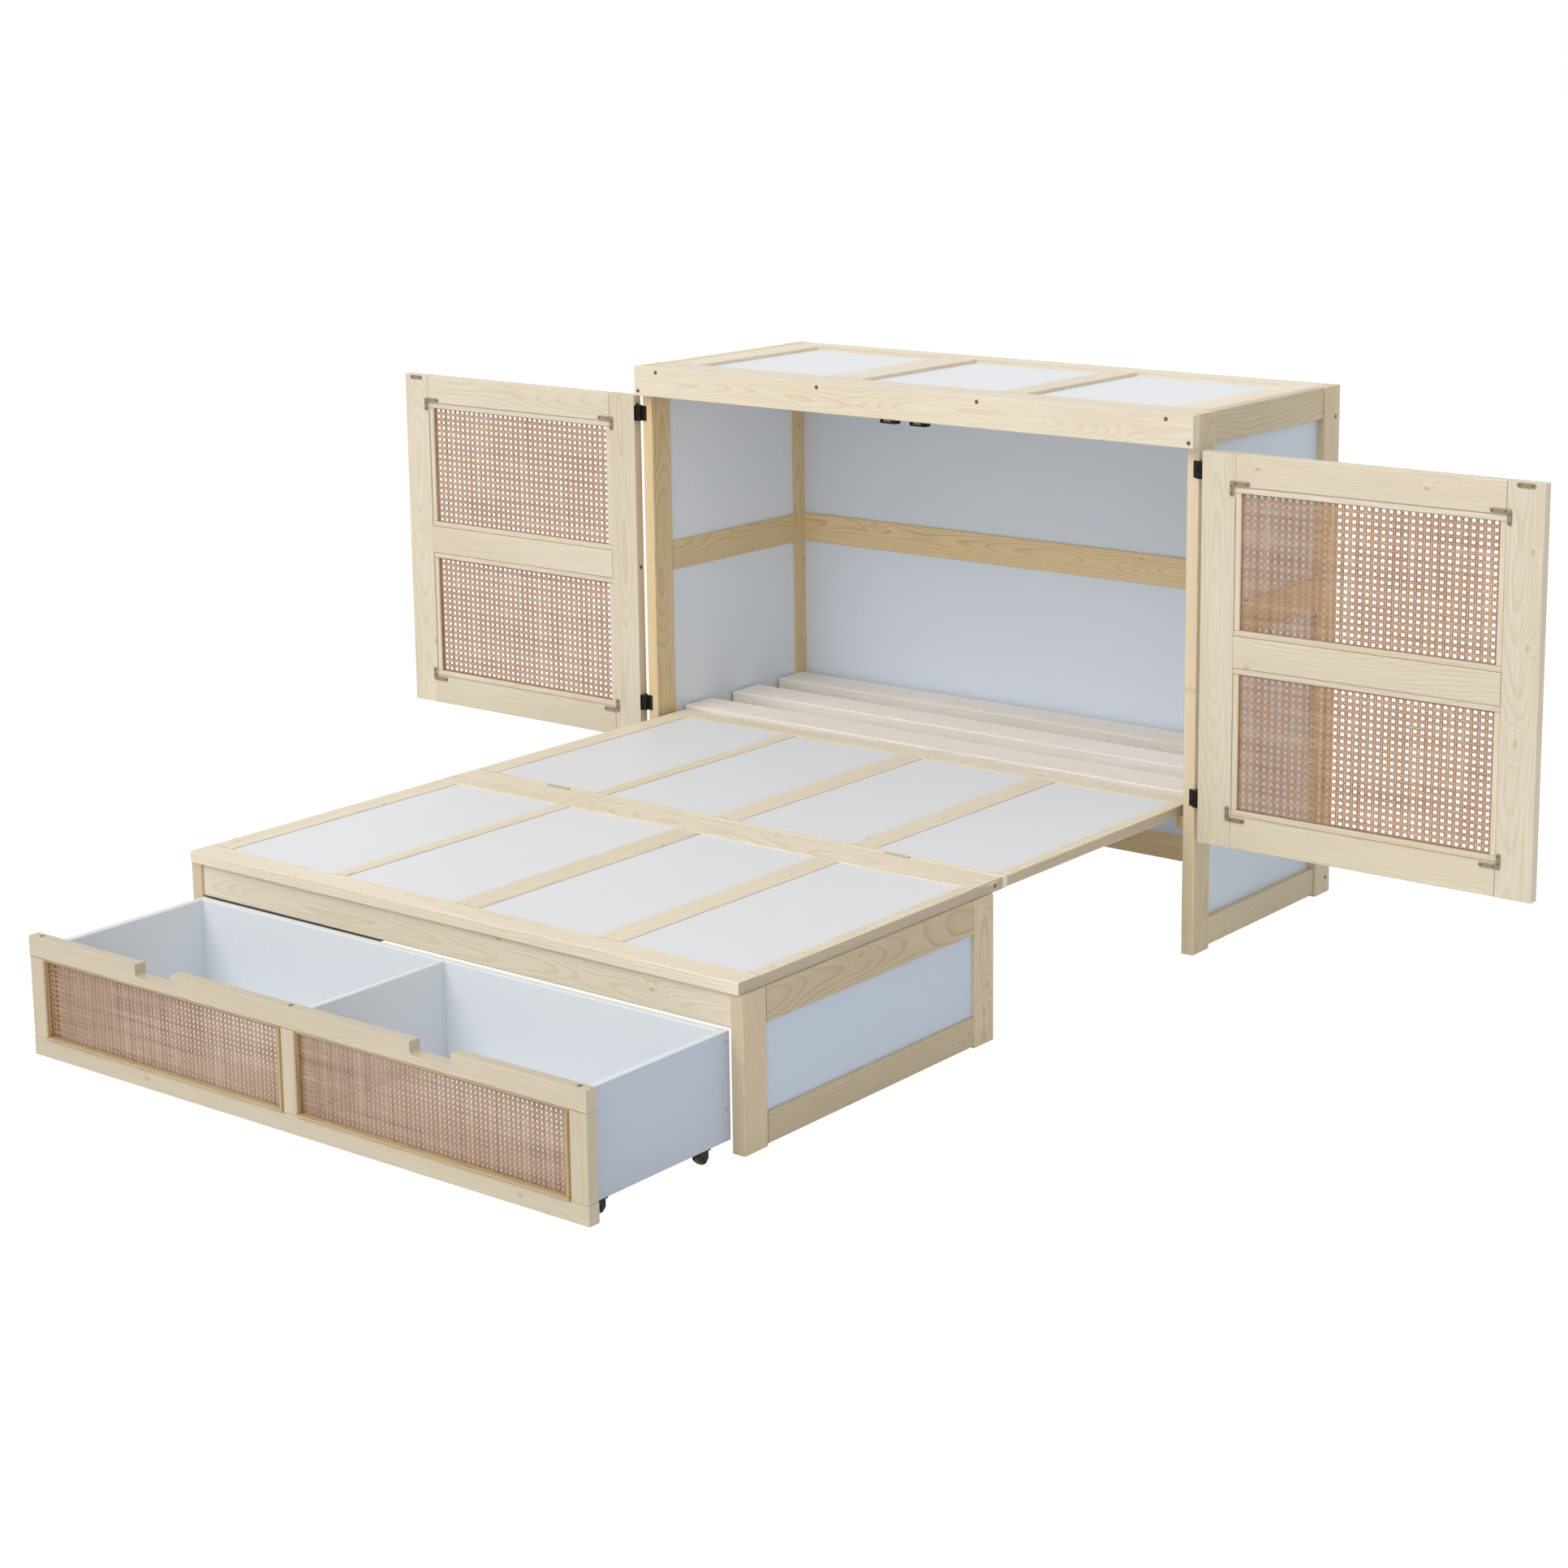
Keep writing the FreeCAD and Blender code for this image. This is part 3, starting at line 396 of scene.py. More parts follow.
def solids_of(cad_node):
    """The solids of a CAD node, each as a bmesh whose doubles are merged."""
    whole = bmesh.new()
    whole.from_mesh(nodes[cad_node].data)
    whole.faces.ensure_lookup_table()
    edge_faces = {}
    for face in whole.faces:
        corners = [tuple(round(c, 6) for c in v.co) for v in face.verts]
        for a, b in zip(corners, corners[1:] + corners[:1]):
            edge_faces.setdefault((min(a, b), max(a, b)), []).append(face.index)
    group = list(range(len(whole.faces)))

    def root(i):
        while group[i] != i:
            group[i] = group[group[i]]
            i = group[i]
        return i

    for faces in edge_faces.values():
        if len(faces) == 2:
            group[root(faces[0])] = root(faces[1])
    members = {}
    for i in range(len(group)):
        members.setdefault(root(i), set()).add(i)
    solids = []
    for chosen in members.values():
        solid = whole.copy()
        solid.faces.ensure_lookup_table()
        other = [f for f in solid.faces if f.index not in chosen]
        bmesh.ops.delete(solid, geom=other, context="FACES")
        bmesh.ops.remove_doubles(solid, verts=solid.verts, dist=MERGE)
        bmesh.ops.dissolve_limit(solid, angle_limit=FLAT_ANGLE, verts=solid.verts, edges=solid.edges,
                                 use_dissolve_boundaries=False)
        solids.append(solid)
    whole.free()
    return solids


def box_of(solid):
    """A bmesh's lowest and highest corners."""
    points = [v.co for v in solid.verts]
    low = Vector([min(p[i] for p in points) for i in range(3)])
    high = Vector([max(p[i] for p in points) for i in range(3)])
    return low, high


def boxes_of(cad_node):
    """The box of each solid of a CAD node."""
    boxes = []
    for solid in solids_of(cad_node):
        boxes.append(box_of(solid))
        solid.free()
    return boxes


def bays_of(cad_node):
    """The spans of a caned node's panes: low and high X, low and high Z."""
    return [(low.x, high.x, low.z, high.z) for low, high in boxes_of(cad_node)]


def round_over(bm, edges, width, segments=2):
    """Round edges over, and return the faces this makes."""
    return bmesh.ops.bevel(bm, geom=edges, offset=width, offset_type="OFFSET", segments=segments, profile=0.5,
                           affect="EDGES", clamp_overlap=True, material=-1)["faces"]


def soften(solid, width):
    """Ease the arrises of a plank, and return the vertices that lie on their crests."""
    sharp = [e for e in solid.edges if len(e.link_faces) == 2 and e.calc_face_angle(0) > SHARP_ANGLE]
    eased = set(round_over(solid, sharp, width))
    return [v for v in solid.verts if all(f in eased for f in v.link_faces)]


# ------------------------------------------------------------------ timber

# The nodes whose planks are golden, and those whose planks are straw-coloured: warmer, deeper copies of
# the pine that paint the warm shade on the pieces seen inside the cabinet and on the base and the right
# side; the drawer's beads are golden also in their own right.
GOLDEN = ("back_rails", "side_rails_left", "post_rear_left", "post_front_left", "side_ledgers",
          "drawer_front_beads")
STRAW = ("base_side_rails", "base_front_legs", "base_rear_legs", "base_rear_rails", "side_rails_right",
         "post_rear_right", "post_front_right")

# How bright a node's planks are, from 0 to 1, and how bright their large faces that look along X are.
# Besides the planks' own tone, the lower node values are painted shade on pieces that lie in shade (the
# drawer's front, the base and the right side), and the darker faces along X are painted shade.
PLAIN_TONE = 0.62
TONE_SPREAD = 0.1
TONE_AND_SHADE = {"drawer_front_frame": 0.28, "drawer_front_beads": 0.30, "base_apron": 0.85, "top_fascia": 0.75,
        "top_frame": 0.85, "front_panel_rails": 0.97, "rear_panel_rails": 0.97, "slats": 0.95,
        "post_rear_left": 1.0, "back_rails": 0.95, "side_rails_left": 0.95, "side_rails_right": 0.5,
        "post_front_right": 0.85, "post_front_left": 1.0, "post_rear_right": 0.65,
        "base_front_legs": 0.45, "base_rear_legs": 0.45, "base_side_rails": 0.3}
X_FACE_SHADE = {"front_panel_rails": 0.0, "rear_panel_rails": 0.1, "post_front_right": 0.45, "top_fascia": 0.65}
LARGE_FACE = 0.001
SQUARE_TO_X = 0.9

# How far a plank's middle lies from its tree's pith, across and through; SAWN fixes it for a node.
PITH_ACROSS = (-0.06, -0.02, 0.0, 0.02, 0.06)
PITH_SCATTER = 0.012
PITH_THROUGH = (0.03, 0.08)
ALONG_TREE = 9
SAWN = {"top_fascia": (0.004, 0.042), "back_rails": (-0.006, 0.045), "drawer_front_frame": (0.03, 0.05),
        "base_apron": (0.012, 0.04), "side_rails_right": (0.05, 0.06)}

ARRIS = 0.0008
# how near another piece an arris must lie to take the painted seam shade
SEAM_REACH = 0.0006
BEAD_SIDE = 0.0065
BEAD_TOP = 0.0032
BEAD_TOP_BACK = 0.0045
APRON_DROP = 0.0024
LOWER_EDGE = 0.004


def within(low, high, box):
    """Whether a span comes within a seam's reach of a box."""
    return all(box[0][i] - SEAM_REACH < high[i] and box[1][i] + SEAM_REACH > low[i] for i in range(3))


def slim_bead(solid):
    """Plane a drawer bead down from the cane's side; a top bead also lies back under its rail."""
    low, high = box_of(solid)
    cane_low, cane_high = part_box("drawer_front_cane")
    upright = high.z - low.z > high.x - low.x
    axis = 0 if upright else 2
    top = not upright and low.z + high.z > cane_low.z + cane_high.z
    keep_high = top
    if upright:
        pane = min(bays_of("drawer_front_cane"), key=lambda b: min(abs(low.x - b[0]), abs(high.x - b[1])))
        keep_high = abs(high.x - pane[1]) < abs(low.x - pane[0])
    fixed = high[axis] if keep_high else low[axis]
    width = high[axis] - low[axis]
    share = (BEAD_TOP if top else BEAD_SIDE) / width
    for v in solid.verts:
        v.co[axis] = fixed + (v.co[axis] - fixed) * share
        if top:
            v.co.y = max(v.co.y, low.y + BEAD_TOP_BACK)
        if upright:
            v.co.z += width - BEAD_TOP if v.co.z > (low.z + high.z) / 2 else BEAD_SIDE - width


def drop_lower_edge(solid):
    """Bring the apron's lower edge down towards the tops of the drawer's sides."""
    low = box_of(solid)[0].z
    for v in solid.verts:
        if v.co.z < low + LOWER_EDGE:
            v.co.z -= APRON_DROP


def timber(cad_node, boxes):
    """The planks of a CAD node with eased arrises, each with grain of its own along its length.
    Arrises that lie against another piece are marked as seams, where shade is painted into the wood's colour."""
    random.seed(cad_node)
    whole = bmesh.new()
    grain = whole.verts.layers.float_vector.new(GRAIN)
    plank = whole.verts.layers.float.new(PLANK)
    seam_shade = whole.verts.layers.float.new(SEAM)
    for solid in solids_of(cad_node):
        if cad_node == "drawer_front_beads":
            slim_bead(solid)
        if cad_node == "base_apron":
            drop_lower_edge(solid)
        low, high = box_of(solid)
        near = [b for b in boxes if within(low, high, b) and b != (low, high)]
        crests = soften(solid, ARRIS)
        solid.verts.index_update()
        in_seam = {v.index for v in crests if any(within(v.co, v.co, b) for b in near)}
        # the large faces that look along X, which get painted shade
        on_shaded_side = {v.index for v in solid.verts
                   if any(abs(f.normal.x) > SQUARE_TO_X and f.calc_area() > LARGE_FACE for f in v.link_faces)}
        start = len(whole.verts)
        append_mesh(whole, solid)
        whole.verts.ensure_lookup_table()
        order = sorted(range(3), key=lambda i: low[i] - high[i])
        middle = [(low[i] + high[i]) / 2 for i in order]
        offset = (random.uniform(-ALONG_TREE, ALONG_TREE),
                  random.choice(PITH_ACROSS) + random.gauss(0, PITH_SCATTER),
                  random.choice((-1, 1)) * random.uniform(*PITH_THROUGH))
        if cad_node in SAWN:
            offset = (offset[0], *SAWN[cad_node])
        # the node's tone, which holds painted shade, varied a little at random from plank to plank
        tone_and_shade = TONE_AND_SHADE.get(cad_node, PLAIN_TONE) + random.uniform(-TONE_SPREAD, TONE_SPREAD)
        for index, v in enumerate(whole.verts[start:]):
            v[grain] = [v.co[i] - m + o for i, m, o in zip(order, middle, offset)]
            v[plank] = X_FACE_SHADE.get(cad_node, tone_and_shade) if index in on_shaded_side else tone_and_shade
            v[seam_shade] = 1.0 if index in in_seam else 0.0
    # golden and straw pine carry painted warm shade
    material = "golden_shade_pine" if cad_node in GOLDEN else "straw_pine" if cad_node in STRAW else None
    obj = new_piece(cad_node + "_planks", whole, finish_of[cad_node], body_of[cad_node],
                    (cad_node,), material)
    even_shading(obj)


# ------------------------------------------------------------------ cane

# In shares of a cell of the weave: how far its paired strands lie from its middle, how wide the
# strands are and how thick.
PAIR_APART = 0.148
PAIR_WIDTH = 0.185
SLANT_WIDTH = 0.145
STRAND_THICK = 0.05
# In metres: how far behind the level strands the upright ones lie, and how wide and high a cell is.
UPRIGHT_BACK = 0.0004
DOOR_CELL = (0.0156, 0.0138)
DRAWER_CELL = (0.0105, 0.00935)


def strand(bm, start, end, width, thick, bow=0.0, steps=1):
    """A flat strand of cane from start to end, its face towards -Y, crowned at the front.
    bow bends it towards -Y at the end and away at the start."""
    crown = bm.verts.layers.float[PLANK]
    along = end - start
    side = along.cross(Vector((0, 1, 0))).normalized() * (width / 2)
    front = Vector((0, -thick, 0))
    bottom = start + Vector((0, bow, 0))
    corners = [bm.verts.new(bottom + p) for p in (-side, -side * 0.5 + front, side * 0.5 + front, side)]
    # crown heights, from which the cane material paints shade at the strand's edges
    for corner, height in zip(corners, (0.0, 1.0, 1.0, 0.0)):
        corner[crown] = height
    edges = [bm.edges.new(two) for two in zip(corners, corners[1:] + corners[:1])]
    step = along / steps - Vector((0, 2 * bow / steps, 0))
    for _ in range(steps):
        made = bmesh.ops.extrude_edge_only(bm, edges=edges)["geom"]
        fresh = [g for g in made if isinstance(g, bmesh.types.BMVert)]
        bmesh.ops.translate(bm, verts=fresh, vec=step)
        edges = [g for g in made if isinstance(g, bmesh.types.BMEdge) and all(v in fresh for v in g.verts)]


def weave_cell(bm, x0, z0, y, pitch_x, pitch_z):
    """Pairs of upright and level strands, and slanting strands that make the holes octagons."""
    hx = pitch_x / 2
    hz = pitch_z / 2
    thick = pitch_x * STRAND_THICK
    for side in (-1, 1):
        x = x0 + side * pitch_x * PAIR_APART
        z = z0 + side * pitch_z * PAIR_APART
        back = y + UPRIGHT_BACK
        strand(bm, Vector((x, back, z0 - hz)), Vector((x, back, z0 + hz)), pitch_x * PAIR_WIDTH, thick)
        strand(bm, Vector((x0 - hx, y, z)), Vector((x0 + hx, y, z)), pitch_z * PAIR_WIDTH, thick)
    for sx in (-1, 1):
        for sz in (-1, 1):
            strand(bm, Vector((x0 + sx * hx, y, z0)), Vector((x0, y, z0 + sz * hz)),
                   pitch_x * SLANT_WIDTH, thick, bow=thick, steps=2)


def cane_panels(cad_node, body, cell):
    """The woven cane of a node's panes. One cell is woven, then repeated across and up each pane."""
    low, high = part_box(cad_node)
    y = (low.y + high.y) / 2
    pitch_x, pitch_z = cell
    for number, (low_x, high_x, low_z, high_z) in enumerate(bays_of(cad_node)):
        columns = int((high_x - low_x) / pitch_x)
        rows = int((high_z - low_z) / pitch_z)
        bm = bmesh.new()
        bm.verts.layers.float.new(PLANK)
        x0 = (low_x + high_x) / 2 - pitch_x / 2 * (columns - 1)
        z0 = (low_z + high_z) / 2 - pitch_z / 2 * (rows - 1)
        weave_cell(bm, x0, z0, y, pitch_x, pitch_z)
        bmesh.ops.recalc_face_normals(bm, faces=bm.faces)
        obj = new_piece(f"{body}_weave_{number}", bm, "cane", body)
        for count, step in ((columns, (pitch_x, 0, 0)), (rows, (0, 0, pitch_z))):
            repeat = obj.modifiers.new("repeat", "ARRAY")
            repeat.count = count
            repeat.use_relative_offset = False
            repeat.use_constant_offset = True
            repeat.constant_offset_displace = step
    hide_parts(cad_node)


# ------------------------------------------------------------------ timber, boards and cane in place

# The nodes that wear another board than their slot's: lighter or darker copies of one blue board,
# painted light on the faces inside and painted shade on the base's sides and the drawer's outside.
FACED = {"side_panels_left": "side_board_lit_inside", "side_panels_right": "side_board_lit_inside",
         "base_side_panels": "base_board_shaded", "back_panels": "back_board_lit", "drawer_sides": "drawer_board_lit_and_shaded",
         "drawer_back": "drawer_board_lit_and_shaded", "drawer_bottom": "drawer_board_lit_and_shaded", "drawer_divider": "drawer_board_lit_and_shaded"}

all_boxes = [box for cad_node in finish_of for box in boxes_of(cad_node)]
for cad_node, slot in finish_of.items():
    if slot in ("pine", "slat_pine"):
        timber(cad_node, all_boxes)
    else:
        nodes[cad_node].data.materials.clear()
        nodes[cad_node].data.materials.append(MATERIALS[FACED.get(cad_node, slot)])

cane_panels("left_door_cane", "left_door", DOOR_CELL)
cane_panels("right_door_cane", "right_door", DOOR_CELL)
cane_panels("drawer_front_cane", "drawer", DRAWER_CELL)


# ------------------------------------------------------------------ small fittings

HEAD_SIDES = 20
HEAD_EASE = 0.3
SOCKET_REACH = 0.8
SUNK = 0.0001


def finish_fitting(name, slot, bm, body, replaced=(), smooth=True, material=None):
    """Finish a bmesh of small metal parts."""
    bmesh.ops.recalc_face_normals(bm, faces=bm.faces)
    obj = new_piece(name, bm, slot, body, replaced, material)
    if smooth:
        even_shading(obj)


def block(bm, size, centre):
    """A square block of a size about its centre."""
    made = bmesh.ops.create_cube(bm, size=1.0)["verts"]
    bmesh.ops.scale(bm, verts=made, vec=size)
    bmesh.ops.translate(bm, verts=made, vec=centre)


def place(bm, verts, centre, axis):
    """Turn what was made about +Z so that it points along an axis, and move it to its centre."""
    turn = Vector((0, 0, 1)).rotation_difference(Vector(axis)).to_matrix()
    bmesh.ops.rotate(bm, verts=verts, cent=(0, 0, 0), matrix=turn)
    bmesh.ops.translate(bm, verts=verts, vec=Vector(centre))


def screw_head(bm, centre, axis, radius, height, socket=0.45, sink=0.5):
    """A round head with an eased rim, its back at the centre, facing along the axis. Its drive is
    about socket of its radius wide and sink of its height deep; a socket of 0 leaves it plain."""
    before = set(bm.verts)
    made = bmesh.ops.create_cone(bm, cap_ends=True, segments=HEAD_SIDES, radius1=radius, radius2=radius,
                                 depth=height)["verts"]
    bmesh.ops.translate(bm, verts=made, vec=(0, 0, height / 2))
    around = {f for v in made for f in v.link_faces}
    crown = next(f for f in around if f.calc_center_median().z > height * 0.99)
    round_over(bm, list(crown.edges), min(height, radius) * HEAD_EASE)
    around = {f for v in bm.verts if v not in before for f in v.link_faces}
    crown = max(around, key=lambda f: (round(f.calc_center_median().z, 7), f.calc_area()))
    if socket:
        bmesh.ops.inset_region(bm, faces=[crown], thickness=radius * (1 - socket) * SOCKET_REACH, depth=0)
        bmesh.ops.translate(bm, verts=crown.verts, vec=(0, 0, -height * sink))
    place(bm, [v for v in bm.verts if v not in before], centre, axis)


# The axis that each node's bolts run along, and which end is open; None is the outer end.
BOLT_ENDS = {"cabinet_bolts": (1, min), "drawer_bolts": (2, max), "left_door_bolts": (0, max),
             "right_door_bolts": (0, min), "front_panel_bolts": (0, None)}
BOLT_SINK = 0.0015
BOLT_HEAD = 0.0046
BOLT_COLLAR = 0.0003


def bolts_of(cad_node):
    """Each bolt of a node: the middle of its open end and the way that end faces."""
    axis, pick = BOLT_ENDS[cad_node]
    bolts = []
    for low, high in boxes_of(cad_node):
        centre = (low + high) / 2
        chosen = pick or (max if centre[axis] > 0 else min)
        centre[axis] = chosen(low[axis], high[axis])
        outward = Vector((0, 0, 0))
        outward[axis] = 1 if chosen is max else -1
        bolts.append((centre, outward))
    return bolts


def bolt_heads():
    """Collared socket heads over the bolts, at the end that the wood leaves open."""
    for cad_node in BOLT_ENDS:
        bm = bmesh.new()
        for centre, outward in bolts_of(cad_node):
            screw_head(bm, centre + outward * BOLT_SINK, outward, BOLT_HEAD, BOLT_COLLAR,
                       socket=0.62, sink=4.0)
        # the bolt heads wear dark brass, whose darkness partly stands in for the shade of their holes
        # (painted shade)
        finish_fitting(cad_node + "_heads", "aged_brass", bm, body_of[cad_node], material="dark_brass")


BRACE_ARM = 0.0085
BRACE_EASE = 0.0009
FLUSH = 1e-5
STRIKE_SCREW_OUT = 0.0130
STRIKE_ROUND = 0.48
BRASS_SCREW = {"radius": 0.0023, "height": 0.0004, "socket": 0.6, "sink": 0.7}


def braces(door):
    """The corner braces with their front edges eased, and four screws in each."""
    panes = [((b[0] + b[1]) / 2, (b[2] + b[3]) / 2) for b in bays_of(door + "_cane")]
    screws = bmesh.new()
    arms = bmesh.new()
    for solid in solids_of(door + "_braces"):
        low, high = box_of(solid)
        brow = [e for e in solid.edges if all(abs(v.co.y - low.y) < FLUSH for v in e.verts)
                and e.calc_face_angle(0) > SHARP_ANGLE]
        round_over(solid, brow, BRACE_EASE)
        append_mesh(arms, solid)
        middle = (low + high) / 2
        pane = min(panes, key=lambda p: abs(p[1] - middle.z))
        sx = 1 if middle.x > pane[0] else -1
        sz = 1 if middle.z > pane[1] else -1
        corner_x = high.x if sx > 0 else low.x
        corner_z = high.z if sz > 0 else low.z
        wide = high.x - low.x
        tall = high.z - low.z
        for in_x, in_z in ((wide - BRACE_ARM * 0.6, BRACE_ARM / 2), (BRACE_ARM * 1.5, BRACE_ARM / 2),
                           (BRACE_ARM / 2, BRACE_ARM * 1.2), (BRACE_ARM / 2, tall - BRACE_ARM * 0.6)):
            screw_head(screws, (corner_x - sx * in_x, low.y, corner_z - sz * in_z), (0, -1, 0), **BRASS_SCREW)
    finish_fitting(door + "_braces_eased", "aged_brass", arms, door, (door + "_braces",))
    finish_fitting(door + "_brace_screws", "aged_brass", screws, door, material="dark_brass")


def strike(door):
    """The strike plate with rounded ends, and its two screws."""
    low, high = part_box(door + "_strike")
    middle = (low + high) / 2
    plate = bmesh.new()
    block(plate, high - low, (0, 0, 0))
    corners = [e for e in plate.edges if abs((e.verts[0].co - e.verts[1].co).y) > 0.5 * (high.y - low.y)]
    round_over(plate, corners, (high.z - low.z) * STRIKE_ROUND, segments=6)
    bmesh.ops.translate(plate, verts=plate.verts, vec=middle)
    finish_fitting(door + "_strike_plate", "aged_brass", plate, door, (door + "_strike",))
    screws = bmesh.new()
    for side in (-1, 1):
        screw_head(screws, (middle.x + side * STRIKE_SCREW_OUT, low.y, middle.z), (0, -1, 0), **BRASS_SCREW)
    finish_fitting(door + "_strike_screws", "aged_brass", screws, door, material="dark_brass")


POST_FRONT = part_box("post_front_right")[0].y
POST_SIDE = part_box("post_front_right")[1].x
PIN_X = 0.737
KNUCKLE_RADIUS = 0.0048
KNUCKLES = 3
RIBS = 3
RIB_RADIUS = 0.0054
RIB_HEIGHT = 0.0020
RIB_SIDES = 28
LEAF_SCREWS = (0.22, 0.78)
LEAF_SCREW_IN = 0.009
LEAF_SCREW = {"radius": 0.003, "height": 0.0008}
LEAF_WIDE = 0.0125
LEAF_THICK = 0.0018
LEAF_OVER = 0.0008
RIDGES = 7
RIDGE_WIDE = 0.55
RIDGE_IN = 0.66
RIDGE_HIGH = 0.0018


def ridged_leaf(bm, side, low_z, high_z):
    """The hinge leaf on a front post's face, with a row of ridges down it."""
    block(bm, (LEAF_WIDE, LEAF_THICK, high_z - low_z),
          (side * (POST_SIDE + LEAF_OVER - LEAF_WIDE / 2), POST_FRONT - LEAF_THICK / 2, (low_z + high_z) / 2))
    for step in range(RIDGES):
        z = low_z + (step + 0.5) * (high_z - low_z) / RIDGES
        block(bm, (LEAF_WIDE * RIDGE_WIDE, LEAF_THICK, RIDGE_HIGH),
              (side * (POST_SIDE - LEAF_WIDE * RIDGE_IN), POST_FRONT - LEAF_THICK, z))


def hinge_ribs():
    """Ribs round the knuckles, the middle one's on the door, screws in the leaves on the posts'
    sides and ridged leaves on their fronts."""
    ribs = {"cabinet": bmesh.new(), "left_door": bmesh.new(), "right_door": bmesh.new()}
    for low, high in boxes_of("cabinet_hinge_leaves"):
        side = 1 if low.x > 0 else -1
        door = "right_door" if side > 0 else "left_door"
        knuckle = (high.z - low.z) / KNUCKLES
        for step in range(KNUCKLES * RIBS):
            bm = ribs[door if step // RIBS == 1 else "cabinet"]
            rib = bmesh.ops.create_cone(bm, cap_ends=True, segments=RIB_SIDES, radius1=RIB_RADIUS,
                                        radius2=RIB_RADIUS, depth=RIB_HEIGHT)["verts"]
            z = low.z + (step + 0.5) * knuckle / RIBS
            bmesh.ops.translate(bm, verts=rib, vec=(side * PIN_X, low.y + KNUCKLE_RADIUS, z))
        for part in LEAF_SCREWS:
            z = low.z + (high.z - low.z) * part
            screw_head(ribs["cabinet"], (side * (POST_SIDE + LEAF_THICK), high.y - LEAF_SCREW_IN, z),
                       (side, 0, 0), **LEAF_SCREW)
        ridged_leaf(ribs["cabinet"], side, low.z, high.z)
    for body, bm in ribs.items():
        finish_fitting(body + "_hinge_ribs", "black_metal", bm, body)


POLE = (0.020, 0.0030, 0.0012)
POLE_UP = 0.0065
POLE_APART = 0.00112
POLE_OUT = 0.0011


def catch_magnets():
    """The pole pieces in the slots of the magnet catches."""
    bm = bmesh.new()
    for low, high in boxes_of("magnet_catches"):
        for side in (-1, 1):
            block(bm, POLE, ((low.x + high.x) / 2, low.y + POLE_OUT, low.z + POLE_UP + side * POLE_APART))
    finish_fitting("catch_poles", "hinge_steel", bm, "cabinet", smooth=False, material="aged_brass")


REAR_BOLT_DOWN = 0.066
REAR_BOLT_UP = 0.034
REAR_BOLT_IN = 0.010
REAR_BOLT_HIGH = 0.0004
LEFT_RAIL_SCREWS = (0.003, (0.108, 0.368, 0.661))
RIGHT_RAIL_SCREWS = (-0.013, (0.106, 0.368))
RAIL_SCREW = {"radius": 0.0021, "height": 0.0005, "socket": 0.5, "sink": 0.9}
RAIL_SCREW_SUNK = 0.0003
DRAWER_SCREWS_Z = (0.202, 0.081)
DRAWER_SCREW_FROM_BACK = 0.009
DRAWER_SCREW_FROM_FRONT = 0.012
DRAWER_SCREW = {"radius": 0.0024, "height": 0.0006}
DRAWER_SCREW_SUNK = 0.0002


def rear_post_bolts():
    """Bolt heads in the outer faces of the rear posts, in line with the back's rails."""
    bm = bmesh.new()
    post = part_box("post_rear_right")[1]
    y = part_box("back_rails")[1].y - REAR_BOLT_IN
    for side in (-1, 1):
        for z in (post.z - REAR_BOLT_DOWN, REAR_BOLT_UP):
            screw_head(bm, (side * (post.x - SUNK), y, z), (side, 0, 0), BOLT_HEAD, REAR_BOLT_HIGH,
                       socket=0.6)
    finish_fitting("rear_post_bolt_heads", "aged_brass", bm, "cabinet", material="dark_brass")


def platform_screws():
    """Small screws down the side rails of the platform's front half."""
    bm = bmesh.new()
    low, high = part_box("front_panel_rails")
    for edge, (inward, along) in ((low.x, LEFT_RAIL_SCREWS), (high.x, RIGHT_RAIL_SCREWS)):
        for y in along:
            screw_head(bm, (edge + inward, low.y + y, high.z - RAIL_SCREW_SUNK), (0, 0, 1), **RAIL_SCREW)
    finish_fitting("side_rail_screws", "aged_brass", bm, "base", material="dark_brass")


def drawer_screws():
    """Screws at both ends of the drawer's sides."""
    bm = bmesh.new()
    low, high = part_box("drawer_sides")
    for side in (-1, 1):
        for z in DRAWER_SCREWS_Z:
            for y in (high.y - DRAWER_SCREW_FROM_BACK, low.y + DRAWER_SCREW_FROM_FRONT):
                screw_head(bm, (side * (high.x - DRAWER_SCREW_SUNK), y, z), (side, 0, 0), **DRAWER_SCREW)
    finish_fitting("drawer_side_screws", "hinge_steel", bm, "drawer")


AXLE_BORE = 0.0021
AXLE_HEIGHT = 0.0105
RIVET = {"radius": 0.0030, "height": 0.0008, "socket": 0}
WHEEL_STEPS = 40


def caster(cad_node):
    """A caster wheel turned with rounded shoulders, a hub and a groove."""
    low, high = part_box(cad_node)
    half = (high.x - low.x) / 2
    radius = (high.z - low.z) / 2
    # from the bore out to the tread: share of the half width, and radius
    profile = [(1.0, AXLE_BORE), (1.0, 0.30 * radius), (0.72, 0.34 * radius), (0.72, 0.66 * radius),
               (0.94, 0.74 * radius), (0.88, 0.93 * radius), (0.62, radius)]
    outline = [(-half * out, r) for out, r in profile] + [(half * out, r) for out, r in reversed(profile)]
    bm = bmesh.new()
    corners = [bm.verts.new((x, 0, r)) for x, r in outline]
    edges = [bm.edges.new(two) for two in zip(corners, corners[1:] + corners[:1])]
    bmesh.ops.spin(bm, geom=corners + edges, cent=(0, 0, 0), axis=(1, 0, 0), dvec=(0, 0, 0), angle=math.tau,
                   steps=WHEEL_STEPS, use_merge=True)
    bmesh.ops.remove_doubles(bm, verts=bm.verts, dist=MERGE)
    bmesh.ops.translate(bm, verts=bm.verts, vec=(low + high) / 2)
    finish_fitting(cad_node + "_turned", "caster_wheel", bm, body_of[cad_node], (cad_node,))


